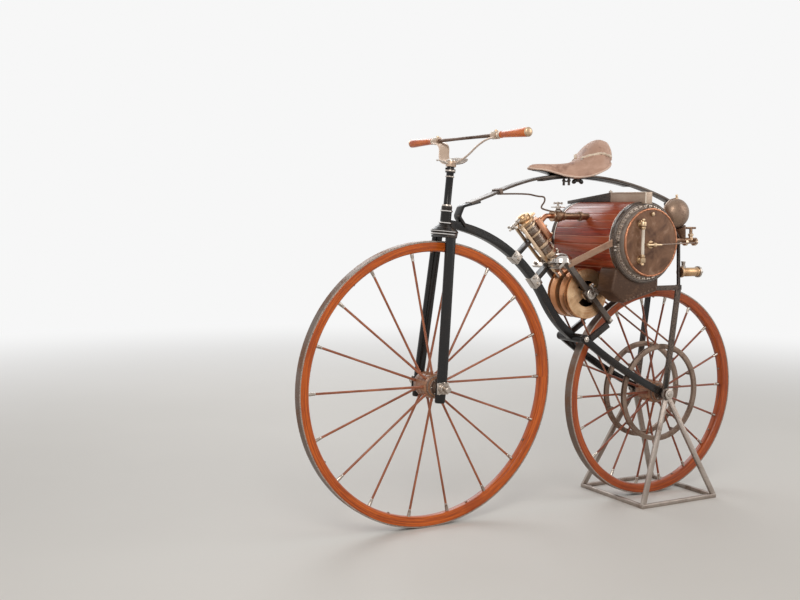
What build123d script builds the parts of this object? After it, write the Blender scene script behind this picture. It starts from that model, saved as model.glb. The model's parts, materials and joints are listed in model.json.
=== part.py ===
"""Steam velocipede: two wooden wheels in line, an iron backbone, a transverse boiler and one cylinder.

Millimetres. +X points forward, +Y to the rider's left and +Z up from the floor.
Heights are measured from the floor and lengths along X from the rear axle.
"""

import os
from math import asin, atan2, cos, degrees, hypot, radians, sin, sqrt

from build123d import *

os.makedirs("parts", exist_ok=True)

# Wheels
front_r = 480.0
rear_r = 392.0
wheel_gap = 98.0
tyre_w = 35.0
tyre_t = 5.0
rim_t = 31.0
spoke_n = 18
spoke_r = 4.3
ferrule_r = 6.2
ferrule_len = 22.0
spoke_in = 6.0
hub_half = 50.0
hub_r = 42.0
hub_end_r = 32.0
cap_r = 29.0
cap_t = 5.0
spoke_y = 28.0
spoke_deep = 12.0
axle_r = 10.0

# Gaps: between fixed pieces, at a shaft and beside a moving piece
fit = 0.2
run = 0.06
side_gap = 5.0

# Steering
rake = 5.5
crown_gap = 12.0
crown_half = 54.0
crown_t = 8.0
disc_r = 45.0
disc_t = 8.0
head_disc_t = 7.5
dome_h = 24.0
neck_r = 17.0
neck_h = 45.0
column_r = 12.5
column_len = 241.0
collar_h = 10.0
boss_r = 17.5
lever_len = 58.0
leg_w = 36.0
leg_t = 22.0
leg_below = 50.0
leg_straight = 40.0
leg_clear = 14.0
boss_len = 19.0
crank_seat = 19.0
bar_r = 6.0
bar_half = 364.0
bar_high = 90.0
bar_back = 54.0
knuckle_y = 180.0
knuckle_half = 14.0
grip_in = 212.0
grip_r = 15.0
grip_neck_r = 10.0
cap_len = 12.0
arm_w = 34.0
arm_t = 5.0
arm_drop = 9.0
arm_turn = 50.0

# Backbone, rear fork, struts and stand. The rear crown and the crank are placed by how far
# they clear the rear and the front tyre.
spine_gap = 58.0
spine_h = 28.0
spine_w = 26.0
spine_end = 150.0
crown_clear_rear = 43.6
crown_clear_front = 128.5
crown_bar_r = 16.0
fork_in = 60.0
fork_t = 14.0
fork_h = 26.0
fork_bow = 12.0
strut_t = 7.0
strut_w = 24.0
strut_back = 259.0
strut_below = 162.0
cradle_h = 18.0
stand_t = 10.0
stand_half = 173.0
stand_y = 169.0
stand_bar = 15.0
stand_leg_w = 20.0
nut_t = 10.0
nut_r = 17.0

# Spring and saddle, laid out from the boiler's middle, and at the front from the backbone
top_ahead = 177.0
top_above = 232.0
spring_end_back = 29.0
spring_end_above = 300.0
knee_angle = 109.7
knee_above = 135.4
tip_angle = 103.2
tip_above = 82.5
spring_w = 40.0
spring_t = 8.0
eye_pin_r = 6.0
shackle_t = 9.0
shackle_half = 17.0
clamp_apart = 58.0
clamp_len = 34.0
clamp_half = 26.0
clamp_h = 26.0
saddle_half = 88.0
nose_half = 30.0
nose_reach = 199.0
tail_reach = 139.0
cantle_h = 131.0

# Boiler, laid out from the crank, and its fittings from its own middle
boiler_back = 153.0
boiler_above = 185.0
boiler_r = 142.0
barrel_half = 168.0
flange_t = 12.0
face_r = 117.0
face_t = 34.0
lag_below = 90.0
casing_back = 77.0
casing_ahead = 135.0
casing_below = 213.0
casing_rise = 40.0
casing_gap = 0.3
casing_slope = 54.0
bridge_t = 22.0
bridge_ahead = 54.0

tray_back = 4.0
tray_ahead = 24.0
tray_left = 203.0
tray_right = 235.0
tray_flat = 15.0
tray_low = 134.0
tray_high = 175.0
gauge_back = 178.0
gauge_in = 30.0
gauge_above = 103.0
gauge_r = 54.0
gauge_h = 38.0
pump_len = 98.0
pump_r = 17.0
pump_above = 47.0
glass_ahead = 53.0
glass_low = 66.0
glass_high = 71.0
glass_r = 7.0
glass_off = 12.0

# Engine
crank_clear_rear = 132.1
crank_clear_front = 195.4
tilt = 47.0
fly_r = 89.0
fly_in = 12.0
fly_out = 56.0
belt_y = 48.5
belt_r = 3.5
groove_r = 58.0
groove_w = 10.0
ring_r = 178.0
ring_depth = 18.0
ring_w = 12.0
clip_r = 5.0
throw = 35.0
pin_r = 7.0
eye_r = 14.0
rail_in = 61.0
rail_t = 18.0
rail_h = 20.0
rail_low = -142.0
rail_top = 160.0
plate_t = 10.0
plate_back = 14.0
cyl_r = 26.0
cyl_low = 185.0
cyl_top = 347.0
clip_t = 283.0
band_t = (230.0, 290.0)
band_h = 9.0
chest_low = 236.0
chest_high = 326.0
foot_off = 12.0
crosshead_t = 120.0
crosshead_h = 28.0
tie_ahead = 32.0
tie_y = 19.0
tie_w = 12.0
tie_t = 5.0
head_w = 80.0
head_t = 10.0
cock_above = 7.5
cock_len = 60.0
dome_r = 38.0
dome_t = 146.0
dome_y = 18.0
steam_above = 88.0
steam_ahead = 274.0
steam_r = 13.0
elbow_r = 9.0
chest_t = 300.0
throttle_r = 3.0
clasp_share = 0.91
clasp_len = 12.0

# Derived places: the origin is under the middle of the whole length
wheelbase = front_r + wheel_gap + rear_r
rear_x = (rear_r - front_r - wheelbase) / 2
front_x = rear_x + wheelbase
spine_r = front_r + spine_gap
crown_s = front_r + crown_gap
column_top = crown_s + column_len
fork_out = fork_in + fork_t
strut_out = fork_out + strut_t
stand_out = strut_out + stand_t


def at(x, y, z):
    """Point from its length ahead of the rear axle, its side and its height."""
    return Vector(rear_x + x, y, z)


def flat(x, z):
    """The same in the side view's two coordinates."""
    return (rear_x + x, z)


def side_plane(y=0.0):
    return Plane.XZ.offset(-y)


def plane_to(p, q, x_dir=None):
    """Plane at p that faces q."""
    return Plane(origin=p, x_dir=x_dir, z_dir=q - p)


def rod(p, q, r, end_r=None, mode=Mode.ADD):
    """Round bar from p to q, tapered where end_r is given."""
    with BuildSketch(plane_to(p, q)) as foot:
        Circle(r)
    if end_r is None:
        extrude(foot.sketch, amount=(q - p).length, mode=mode)
        return
    with BuildSketch(plane_to(q, q + (q - p))) as head:
        Circle(end_r)
    loft([foot.sketch, head.sketch], mode=mode)


def strap(p, q, width, thick, x_dir):
    """Flat bar from p to q, its width along x_dir."""
    with BuildSketch(plane_to(p, q, x_dir)) as foot:
        Rectangle(width, thick)
    extrude(foot.sketch, amount=(q - p).length)


def slab(points, y0, y1, mode=Mode.ADD):
    """Plate with a straight-sided outline in the side view, from y0 to y1."""
    with BuildSketch(side_plane(y0)) as outline:
        with BuildLine():
            Polyline([flat(*p) for p in points], close=True)
        make_face()
    extrude(outline.sketch, amount=-(y1 - y0), mode=mode)


def block(x0, x1, y0, y1, z0, z1, mode=Mode.ADD):
    slab([(x0, z0), (x1, z0), (x1, z1), (x0, z1)], y0, y1, mode)


def turned(profile, origin, z_dir, x_dir):
    """Solid of revolution about z_dir: profile holds (radius, height) corners from the axis out."""
    face = Plane(origin=origin, x_dir=x_dir, z_dir=x_dir.cross(z_dir))
    with BuildSketch(face) as half:
        with BuildLine():
            Polyline([(r, h) for r, h in profile], close=True)
        make_face()
    revolve(half.sketch, axis=Axis(origin, z_dir))


def minus(*parts):
    """Cut the seats of finished pieces out of this one."""
    for other in parts:
        add(other.part, mode=Mode.SUBTRACT)


def hole(p, q, r):
    rod(p, q, r, mode=Mode.SUBTRACT)


def save(piece, name):
    piece.part.label = name
    export_step(piece.part, f"parts/{name}.step")


left = Vector(0, 1, 0)
ahead = Vector(1, 0, 0)
up = Vector(0, 0, 1)
sides = {"left": 1, "right": -1}


def clear_of(rear_clear, front_clear):
    """Length and height of the point above the wheels that clears both tyres by so much."""
    base = Vector(wheelbase, front_r - rear_r)
    to_rear = rear_r + rear_clear
    to_front = front_r + front_clear
    along = (to_rear ** 2 - to_front ** 2 + base.length ** 2) / (2 * base.length)
    off = sqrt(to_rear ** 2 - along ** 2)
    line = base.normalized()
    return line.X * along - line.Y * off, rear_r + line.Y * along + line.X * off


def round_front(angle, above):
    """Length and height of a point above the backbone, at an angle round the front axle."""
    reach = spine_r + above
    return wheelbase + reach * cos(radians(angle)), front_r + reach * sin(radians(angle))


rear_crown = clear_of(crown_clear_rear, crown_clear_front)
crank = clear_of(crank_clear_rear, crank_clear_front)
boiler = (crank[0] - boiler_back, crank[1] + boiler_above)
strut_top = (boiler[0] - strut_back, boiler[1] - strut_below)
spring_top = (boiler[0] + top_ahead, boiler[1] + top_above)
spring_rear = (strut_top[0] - spring_end_back, strut_top[1] + spring_end_above)
spring_knee = round_front(knee_angle, knee_above)
spring_front = round_front(tip_angle, tip_above)
lag_end = boiler[1] - lag_below
steam_z = boiler[1] + steam_above
steam_end = boiler[0] + steam_ahead

# Steering frame: its origin is the front axle, its height runs along the raked column
front_axle = Vector(front_x, 0, front_r)
steer_up = Vector(-sin(radians(rake)), 0, cos(radians(rake)))
steer_ahead = Vector(cos(radians(rake)), 0, sin(radians(rake)))


def on_column(s, ahead_by=0.0, y=0.0):
    return front_axle + steer_up * s + steer_ahead * ahead_by + left * y


# Engine frame: its origin is the crank centre, its height runs up the cylinder
crank_at = at(crank[0], 0, crank[1])
cyl_up = Vector(cos(radians(tilt)), 0, sin(radians(tilt)))
cyl_ahead = Vector(sin(radians(tilt)), 0, -cos(radians(tilt)))


def on_engine(t, n=0.0, y=0.0):
    return crank_at + cyl_up * t + cyl_ahead * n + left * y


# Wheels

wheels = [
    # name, axle x, radius
    ("front", front_x, front_r),
    ("rear", rear_x, rear_r),
]
for name, axle_x, radius in wheels:
    centre = Vector(axle_x, 0, radius)
    rim_out = radius - tyre_t - fit
    rim_in = rim_out - rim_t
    half_w = tyre_w / 2

    with BuildPart() as tyre:
        with BuildSketch(Plane(origin=centre - left * half_w, x_dir=ahead, z_dir=left)):
            Circle(radius)
            Circle(radius - tyre_t, mode=Mode.SUBTRACT)
        extrude(amount=tyre_w)
    save(tyre, f"{name}_tyre")

    ends = []
    for k in range(spoke_n):
        angle = radians(90 + (k + 0.5) * 360 / spoke_n)
        out = Vector(cos(angle), 0, sin(angle))
        lean = spoke_y if k % 2 else -spoke_y
        ends.append((centre + out * (hub_r - spoke_deep) + left * lean,
                     centre + out * (rim_in + spoke_in) + left * lean * 0.1))

    with BuildPart() as rim:
        bevel = rim_t / 4
        turned([(rim_in, -half_w + bevel), (rim_in + bevel, -half_w), (rim_out, -half_w),
                (rim_out, half_w), (rim_in + bevel, half_w), (rim_in, half_w - bevel)],
               centre, left, ahead)
        for foot, tip in ends:
            hole(tip - (tip - foot).normalized() * (2 * spoke_in), tip, ferrule_r + fit)
    save(rim, f"{name}_rim")

    with BuildPart() as hub:
        cap = hub_half + cap_t
        swell = hub_half * 0.6
        turned([(axle_r + run, -cap), (cap_r, -cap), (cap_r, -hub_half), (hub_end_r, -hub_half),
                (hub_r, -swell), (hub_r, swell), (hub_end_r, hub_half), (cap_r, hub_half),
                (cap_r, cap), (axle_r + run, cap)], centre, left, ahead)
        for foot, tip in ends:
            hole(foot - (tip - foot).normalized() * fit, tip, spoke_r + fit)
    save(hub, f"{name}_hub")

    with BuildPart() as spokes:
        for foot, tip in ends:
            along = (tip - foot).normalized()
            rod(foot, tip - along * fit, spoke_r)
            rod(tip - along * (spoke_in + ferrule_len), tip - along * fit, ferrule_r)
    save(spokes, f"{name}_spokes")

# The front axle turns with its wheel and carries a crank boss at each end
leg_foot = fork_in + leg_clear
leg_out = leg_foot + leg_t / 2
with BuildPart() as front_axle_piece:
    boss = leg_out + boss_len
    end = boss + crank_seat
    rod(front_axle - left * end, front_axle + left * end, axle_r)
    for s in sides.values():
        rod(front_axle + left * s * (leg_out + 1), front_axle + left * s * boss, nut_r)
save(front_axle_piece, "front_axle")

# Two flat rings clipped to the rear spokes carry the belts
rear_axle = Vector(rear_x, 0, rear_r)
ring_out = ring_r + 4.0
with BuildPart() as drive_rings:
    for s in sides.values():
        face = Plane(origin=rear_axle + left * s * belt_y, x_dir=ahead, z_dir=left)
        groove = belt_r + 0.4
        turned([(ring_out - ring_depth, -ring_w / 2), (ring_out, -ring_w / 2),
                (ring_out, -groove), (ring_r - groove, -groove), (ring_r - groove, groove),
                (ring_out, groove), (ring_out, ring_w / 2), (ring_out - ring_depth, ring_w / 2)],
               rear_axle + left * s * belt_y, left, ahead)
        for k in range(spoke_n):
            lean = spoke_y if k % 2 else -spoke_y
            if lean * s < 0:
                continue
            angle = radians(90 + (k + 0.5) * 360 / spoke_n)
            out = Vector(cos(angle), 0, sin(angle))
            clip_at = ring_out - ring_depth * 0.6
            clip = rear_axle + out * clip_at
            spoke_foot = hub_r - spoke_deep
            spoke_tip = rear_r - tyre_t - fit - rim_t + spoke_in
            share = (clip_at - spoke_foot) / (spoke_tip - spoke_foot)
            spoke_side = abs(lean) * (1 - 0.9 * share) + spoke_r + 3 * fit
            rod(clip + left * s * spoke_side, clip + left * s * (belt_y - ring_w / 2), clip_r)
save(drive_rings, "drive_rings")

# Steering: fork, column, arms, bar and grips. Each arm is a flat ribbon, bent to an S, whose width
# points outwards and ahead.

fork_face = Plane(origin=front_axle, x_dir=left, z_dir=steer_ahead)
with BuildPart() as fork_crown:
    with BuildSketch(Plane(origin=on_column(crown_s), x_dir=steer_ahead, z_dir=steer_up)):
        Rectangle(leg_w, 2 * crown_half)
    extrude(amount=crown_t)
    rod(on_column(crown_s + crown_t), on_column(crown_s + crown_t + disc_t), disc_r)
save(fork_crown, "fork_crown")

leg_tops = crown_half - leg_t / 2
for name, s in sides.items():
    with BuildPart() as leg:
        with BuildSketch(fork_face) as outline:
            with BuildLine():
                Polyline((s * (leg_foot - leg_t / 2), -leg_below), (s * (leg_foot + leg_t / 2), -leg_below),
                         (s * (leg_foot + leg_t / 2), leg_straight), (s * (leg_tops + leg_t / 2), crown_s),
                         (s * (leg_tops - leg_t / 2), crown_s), (s * (leg_foot - leg_t / 2), leg_straight),
                         close=True)
            make_face()
        extrude(outline.sketch, amount=leg_w / 2, both=True)
        hole(front_axle, front_axle + left * s * (leg_out + 5), axle_r + run)
    save(leg, f"fork_leg_{name}")

column_foot = crown_s + crown_t + disc_t
head_foot = column_foot + 0.5
head_top = head_foot + head_disc_t + dome_h
neck_top = head_top + neck_h
with BuildPart() as column:
    rod(on_column(column_foot), on_column(column_top), column_r)
    rod(on_column(neck_top + 0.5), on_column(neck_top + 0.5 + collar_h), neck_r + 1)
    rod(on_column(column_top - 26), on_column(column_top - 14), neck_r)
    rod(on_column(column_top - 16), on_column(column_top - 8, lever_len), 5, 1.5)
save(column, "steering_column")

bar_foot = on_column(column_top)
bar_up = Vector(-bar_back, 0, bar_high).normalized()
arm_len = hypot(bar_back, bar_high)
bar_at = bar_foot + bar_up * arm_len
arm_face = Plane(origin=bar_foot, x_dir=left, z_dir=left.cross(bar_up))
with BuildPart() as arms:
    for s in sides.values():
        with BuildSketch(arm_face) as outline:
            with BuildLine() as path:
                first = TangentArc((0, arm_t), (s * knuckle_y / 2, arm_len / 2), tangent=(s, 0))
                TangentArc(first @ 1, (s * knuckle_y, arm_len - arm_drop), tangent=first % 1)
            trace(path.wires()[0], line_width=arm_t)
        across = ahead * cos(radians(arm_turn)) + left * s * sin(radians(arm_turn))
        extrude(outline.sketch, amount=arm_w / 2, dir=across)
        extrude(outline.sketch, amount=arm_w / 2, dir=across * -1)
    rod(on_column(column_top - 6), on_column(column_top + 12), boss_r)
    for s in sides.values():
        knuckle = bar_at + left * s * knuckle_y
        rod(knuckle - left * knuckle_half, knuckle + left * knuckle_half, bar_r + 7)
    hole(bar_at - left * bar_half, bar_at + left * bar_half, bar_r + fit)
    minus(column)
save(arms, "handlebar_arms")

with BuildPart() as bar:
    rod(bar_at - left * (bar_half - 1), bar_at + left * (bar_half - 1), bar_r)
    for s in sides.values():
        tip = bar_at + left * s * bar_half
        turned([(0, 0), (grip_r, 0), (grip_r, 6), (grip_r - 5, cap_len), (0, cap_len)],
               tip - left * s * cap_len, left * s, ahead)
save(bar, "handlebar")

with BuildPart() as grips:
    for s in sides.values():
        span = bar_half - cap_len - fit - grip_in
        turned([(bar_r + fit, 0), (grip_neck_r, 0), (grip_neck_r + 1, span * 0.2), (grip_r, span * 0.75),
                (grip_r - 1, span), (bar_r + fit, span)], bar_at + left * s * grip_in, left * s, ahead)
save(grips, "grips")

# Backbone: it follows the front wheel from the head and then bends back to the rear crown

crown_at = at(rear_crown[0], 0, rear_crown[1])
with BuildPart() as backbone:
    with BuildSketch(side_plane()) as outline:
        with BuildLine() as path:
            over = CenterArc((front_x, front_r), spine_r, 90 + rake, spine_end - 90 - rake)
            TangentArc(over @ 1, flat(*rear_crown), tangent=over % 1)
        trace(path.wires()[0], line_width=spine_h)
    extrude(outline.sketch, amount=spine_w / 2, both=True)
    rod(crown_at - left * fork_in, crown_at + left * fork_in, crown_bar_r)
    neck_len = neck_top - head_foot
    turned([(0, 0), (disc_r, 0), (disc_r, head_disc_t), (disc_r * 0.7, head_disc_t + dome_h * 0.45),
            (neck_r, head_disc_t + dome_h), (neck_r, neck_len), (0, neck_len)],
           on_column(head_foot), steer_up, steer_ahead)
    hole(on_column(column_foot - 1), on_column(neck_top + neck_h), column_r + run)
save(backbone, "backbone")

# Rear fork legs, each a gently bent flat bar from the crown bar's end to the axle
rear_legs = {}
for name, s in sides.items():
    with BuildPart() as leg:
        y0 = s * fork_in
        with BuildSketch(side_plane(y0)) as outline:
            with BuildLine() as path:
                SagittaArc(flat(*rear_crown), flat(0, rear_r), fork_bow)
            trace(path.wires()[0], line_width=fork_h)
            with Locations(flat(*rear_crown)):
                Circle(crown_bar_r)
            with Locations(flat(0, rear_r)):
                Circle(fork_h / 2 + 6)
        extrude(outline.sketch, amount=-s * fork_t)
        hole(rear_axle, rear_axle + left * s * (fork_out + 5), axle_r + fit)
    rear_legs[name] = leg
    save(leg, f"rear_fork_{name}")

with BuildPart() as axle:
    rod(rear_axle - left * (stand_out + nut_t + 4), rear_axle + left * (stand_out + nut_t + 4), axle_r)
    for s in sides.values():
        face = Plane(origin=rear_axle + left * s * stand_out, x_dir=ahead, z_dir=left * s)
        with BuildSketch(face) as hexagon:
            RegularPolygon(nut_r, 6)
        extrude(hexagon.sketch, amount=nut_t)
save(axle, "rear_axle")

# Engine: rails, cross plate, cylinder, head and brackets


def to_backbone(p):
    """How far the backbone's middle lies from p, square to the cylinder."""
    line = front_axle - p
    across = line.dot(cyl_ahead)
    return across - sqrt(across ** 2 - line.length ** 2 + spine_r ** 2)


rails = {}
for name, s in sides.items():
    with BuildPart() as rail:
        middle = s * (rail_in + rail_t / 2)
        strap(on_engine(rail_low, 0, middle), on_engine(rail_top, 0, middle), rail_h, rail_t, cyl_ahead)
        strap(on_engine(-24, 0, middle), on_engine(24, 0, middle), rail_h + 18, rail_t, cyl_ahead)
        hole(crank_at, crank_at + left * s * (rail_in + rail_t + 5), axle_r + run)
    rails[name] = rail
    save(rail, f"engine_rail_{name}")

plate_top = rail_top + plate_t
with BuildPart() as cylinder:
    bands = []
    for low in band_t:
        bands += [(cyl_r, low), (cyl_r + 4, low), (cyl_r + 4, low + band_h), (cyl_r, low + band_h)]
    turned([(pin_r + fit, plate_top), (cyl_r + 12, plate_top), (cyl_r + 12, cyl_low), (cyl_r, cyl_low),
            *bands, (cyl_r, cyl_top), (pin_r + fit, cyl_top)], crank_at, cyl_up, cyl_ahead)
    strap(on_engine(chest_low, -cyl_r - 8), on_engine(chest_high, -cyl_r - 8), 24, 44, cyl_ahead)
    hole(on_engine(plate_top - 5), on_engine(cyl_top - 20), pin_r + fit)
save(cylinder, "cylinder")

with BuildPart() as head:
    head_at = cyl_top + head_t
    cock = head_at + cock_above
    strap(on_engine(cyl_top), on_engine(head_at), head_w, 2 * (tie_y + 11), cyl_ahead)
    rod(on_engine(head_at), on_engine(head_at + 14), cyl_r + 2, 18)
    rod(on_engine(cock), on_engine(cock, cock_len), 6)
    rod(on_engine(cock, cock_len - 8, -20), on_engine(cock, cock_len - 8, 20), 4)
    for s in sides.values():
        strap(on_engine(cyl_low, tie_ahead, s * tie_y), on_engine(cyl_top + tie_t, tie_ahead, s * tie_y),
              tie_w, tie_t, cyl_ahead)
save(head, "cylinder_head")

# The fixed rod ends clear of the big end, whose eye rides round with the crank
rod_foot = throw + eye_r + side_gap + 1
with BuildPart() as piston_rod:
    rod(on_engine(rod_foot), on_engine(cyl_top - 40), 5.5)
    strap(on_engine(crosshead_t), on_engine(crosshead_t + crosshead_h), 30, 16, cyl_ahead)
save(piston_rod, "piston_rod")

with BuildPart() as cross_plate:
    plate_n = (head_w / 2 - plate_back) / 2
    plate_w = head_w / 2 + plate_back
    strap(on_engine(rail_top, plate_n), on_engine(plate_top, plate_n), plate_w, 2 * (rail_in + rail_t), cyl_ahead)
    turned([(0, 0), (dome_r, 0), (dome_r - 3, 14), (dome_r * 0.7, 26), (dome_r * 0.3, 32), (0, 33)],
           on_engine(dome_t, -8, dome_y), up, ahead)
    hole(on_engine(rod_foot), on_engine(cyl_low), pin_r + fit)
    minus(piston_rod, cylinder, head)
save(cross_plate, "cross_plate")

brackets_at = [
    # up the cylinder, width, thickness
    (rail_top + plate_t / 2, 16.0, 30.0),
    (clip_t, 12.0, 24.0),
]
with BuildPart() as brackets:
    for t, width, thick in brackets_at:
        strap(on_engine(t, cyl_r - 4), on_engine(t, to_backbone(on_engine(t))), width, thick, cyl_up)
    for s in sides.values():
        middle = s * (rail_in + fork_out) / 2
        low = on_engine(rail_low, foot_off, middle)
        strap(low, crown_at - ahead * fork_h + left * middle, rail_h + 2, fork_out - rail_in, up)
    minus(cross_plate, cylinder, backbone, *rails.values(), *rear_legs.values())
save(brackets, "engine_brackets")

# Crank: two grooved flywheels on stub shafts, joined by the pin with its big end

pin_at = crank_at + Vector(throw * 0.56, 0, -throw * 0.83)
with BuildPart() as flywheels:
    for s in sides.values():
        groove_in = belt_y - groove_w / 2
        groove_out = belt_y + groove_w / 2
        floor_r = groove_r - belt_r - 0.4
        turned([(axle_r + fit, fly_in), (fly_r, fly_in), (fly_r, groove_in - 2), (floor_r, groove_in + 1),
                (floor_r, groove_out - 1), (fly_r, groove_out + 1), (fly_r, fly_out), (axle_r + fit, fly_out)],
               crank_at, left * s, ahead)
        for turn in (40, 220):
            face = Plane(origin=crank_at + left * s * (fly_out + 1), x_dir=ahead, z_dir=left * s)
            with BuildSketch(face) as kidney:
                with BuildLine():
                    a0, a1 = turn, turn + 110
                    outer = CenterArc((0, 0), floor_r - 8, a0, a1 - a0)
                    inner = CenterArc((0, 0), axle_r + 10, a0, a1 - a0)
                    Line(outer @ 0, inner @ 0)
                    Line(outer @ 1, inner @ 1)
                make_face()
            extrude(kidney.sketch, amount=-(fly_out - fly_in - 8), mode=Mode.SUBTRACT)
        hole(pin_at, pin_at + left * s * (fly_in + 12), pin_r + fit)
save(flywheels, "flywheels")

with BuildPart() as shaft:
    for s in sides.values():
        rod(crank_at + left * s * fly_in, crank_at + left * s * (rail_in + rail_t + 5), axle_r)
    rod(pin_at - left * (fly_in + 10), pin_at + left * (fly_in + 10), pin_r)
    rod(pin_at - left * 7, pin_at + left * 7, eye_r)
save(shaft, "crankshaft")

# Belts: each an open loop from the flywheel's groove to the ring on the rear wheel

gap_x = rear_axle.X - crank_at.X
gap_z = rear_axle.Z - crank_at.Z
gap = hypot(gap_x, gap_z)
line_up = degrees(atan2(gap_z, gap_x))
lift = degrees(asin((ring_r - groove_r) / gap))
for name, s in sides.items():
    with BuildPart() as belt:
        with BuildLine(side_plane(s * belt_y)) as path:
            small = (crank_at.X, crank_at.Z)
            large = (rear_axle.X, rear_axle.Z)
            front_arc = CenterArc(small, groove_r, line_up + 90 + lift, 180 - 2 * lift)
            rear_arc = CenterArc(large, ring_r, line_up - 90 - lift, 180 + 2 * lift)
            Line(front_arc @ 1, rear_arc @ 0)
            Line(rear_arc @ 1, front_arc @ 0)
        with BuildSketch(Plane(origin=path.wires()[0] @ 0, z_dir=path.wires()[0] % 0)) as section:
            Circle(belt_r)
        sweep(section.sketch, path=path.wires()[0])
    save(belt, f"belt_{name}")

# Boiler: lagged barrel, ends, firebox casings with their bridge

boiler_at = at(boiler[0], 0, boiler[1])
with BuildPart() as barrel:
    rod(boiler_at - left * barrel_half, boiler_at + left * barrel_half, boiler_r)
    block(boiler[0] - 2 * boiler_r, boiler[0] + 2 * boiler_r, -barrel_half - 1, barrel_half + 1,
          boiler[1] - 2 * boiler_r, lag_end, mode=Mode.SUBTRACT)
save(barrel, "boiler_barrel")

with BuildPart() as ends:
    for s in sides.values():
        turned([(0, 0), (boiler_r, 0), (boiler_r, flange_t), (face_r, flange_t), (face_r, face_t + 6),
                (face_r - 9, face_t + flange_t), (0, face_t + flange_t)],
               boiler_at + left * s * barrel_half, left * s, ahead)
save(ends, "boiler_ends")

casing_in = strut_out + casing_gap
casing_rear = boiler[0] - casing_back
casing_front = boiler[0] + casing_ahead
casing_z = boiler[1] - casing_below
for name, s in sides.items():
    with BuildPart() as casing:
        slab([(casing_rear, casing_z + casing_rise), (casing_front - casing_slope, casing_z),
              (casing_front, casing_z + casing_slope * 0.8), (casing_front - casing_slope * 0.3, lag_end),
              (casing_rear, lag_end)], s * casing_in, s * barrel_half)
    save(casing, f"firebox_{name}")

with BuildPart() as bridge:
    block(casing_rear, boiler[0] + bridge_ahead, -casing_in, casing_in, lag_end - bridge_t, lag_end)
save(bridge, "firebox_bridge")

# Struts from the axle past the boiler to the spring, with the cradle bar that holds the casing

cradle_front = crank[0] - axle_r - side_gap - 3
struts = {}
for name, s in sides.items():
    with BuildPart() as strut:
        y0 = s * fork_out
        with BuildSketch(side_plane(y0)) as outline:
            with BuildLine() as path:
                Line(flat(0, rear_r), flat(*strut_top))
            trace(path.wires()[0], line_width=strut_w)
            with Locations(flat(0, rear_r)):
                Circle(strut_w / 2 + 5)
        extrude(outline.sketch, amount=-s * strut_t)
        block(strut_top[0] - strut_w / 2, cradle_front, y0, s * strut_out,
              strut_top[1] - cradle_h, strut_top[1])
        rod(at(strut_top[0], s * (fork_out + strut_t / 2), strut_top[1] - cradle_h),
            at(spring_rear[0], s * (spring_w / 2 + 12), spring_rear[1]), strut_t)
        hole(rear_axle, rear_axle + left * s * (stand_out + 5), axle_r + fit)
        hole(at(spring_rear[0], 0, spring_rear[1]), at(spring_rear[0], s * 2 * spring_w, spring_rear[1]),
             eye_pin_r + fit)
        minus(rails[name])
    struts[name] = strut
    save(strut, f"strut_{name}")

# Stand: square base and two legs a side, whose eyes hang on the axle ends

with BuildPart() as base:
    with BuildSketch(Plane(origin=at(0, 0, 0))):
        Rectangle(2 * stand_half + stand_bar, 2 * stand_y + stand_bar)
        Rectangle(2 * stand_half - stand_bar, 2 * stand_y - stand_bar, mode=Mode.SUBTRACT)
    extrude(amount=stand_bar)
save(base, "stand_base")

for name, s in sides.items():
    with BuildPart() as legs:
        for end in (1, -1):
            foot = at(end * stand_half, s * stand_y, stand_bar / 2)
            strap(foot, rear_axle + left * s * (strut_out + stand_t / 2), stand_leg_w, stand_t, ahead)
        rod(rear_axle + left * s * strut_out, rear_axle + left * s * stand_out, nut_r + 3)
        block(-2 * stand_half, 2 * stand_half, 0, s * 2 * stand_y, -50, stand_bar, mode=Mode.SUBTRACT)
        block(-2 * stand_half, 2 * stand_half, 0, s * strut_out, 0, 2 * rear_r, mode=Mode.SUBTRACT)
        hole(rear_axle + left * s * stand_out, rear_axle + left * s * 2 * stand_out, nut_r + 1)
        hole(rear_axle, rear_axle + left * s * (stand_out + 50), axle_r + fit)
    save(legs, f"stand_legs_{name}")

# Spring, its fittings and the saddle

def leaf(thick, half, mode=Mode.ADD):
    """The leaf spring's bow, thick across the leaf."""
    with BuildSketch(side_plane()) as outline:
        with BuildLine() as path:
            TangentArc(flat(*spring_top), flat(*spring_rear), tangent=(-1, 0))
            bow = TangentArc(flat(*spring_top), flat(*spring_knee), tangent=(1, 0))
            Line(bow @ 1, flat(*spring_front))
        trace(path.edges(), line_width=thick)
    extrude(outline.sketch, amount=half, both=True, mode=mode)
    return bow


eye_at = at(spring_rear[0], 0, spring_rear[1])
with BuildPart() as spring:
    front_bow = leaf(spring_t, spring_w / 2)
    rod(eye_at - left * spring_w / 2, eye_at + left * spring_w / 2, eye_pin_r + spring_t)
    hole(eye_at - left * spring_w, eye_at + left * spring_w, eye_pin_r + fit)
save(spring, "spring")

# The shackle runs over the spring's tip and down to the backbone: angle and height above it
shackle = [(106.4, 98.0), (100.7, 66.5), (99.9, 30.5), (103.3, 2.4)]
with BuildPart() as fittings:
    with BuildSketch(side_plane()) as outline:
        with BuildLine() as path:
            FilletPolyline([flat(*round_front(*p)) for p in shackle], radius=14)
        trace(path.wires()[0], line_width=shackle_t)
    extrude(outline.sketch, amount=shackle_half, both=True)
    rod(eye_at - left * spring_w, eye_at + left * spring_w, eye_pin_r)
    for middle in (spring_top[0] - clamp_apart / 2, spring_top[0] + clamp_apart / 2):
        block(middle - clamp_len / 2, middle + clamp_len / 2, -clamp_half, clamp_half,
              spring_top[1] - spring_t / 2 - 1 - clamp_h, spring_top[1] - spring_t / 2 - 1)
    minus(spring, backbone)
save(fittings, "spring_fittings")

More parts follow.
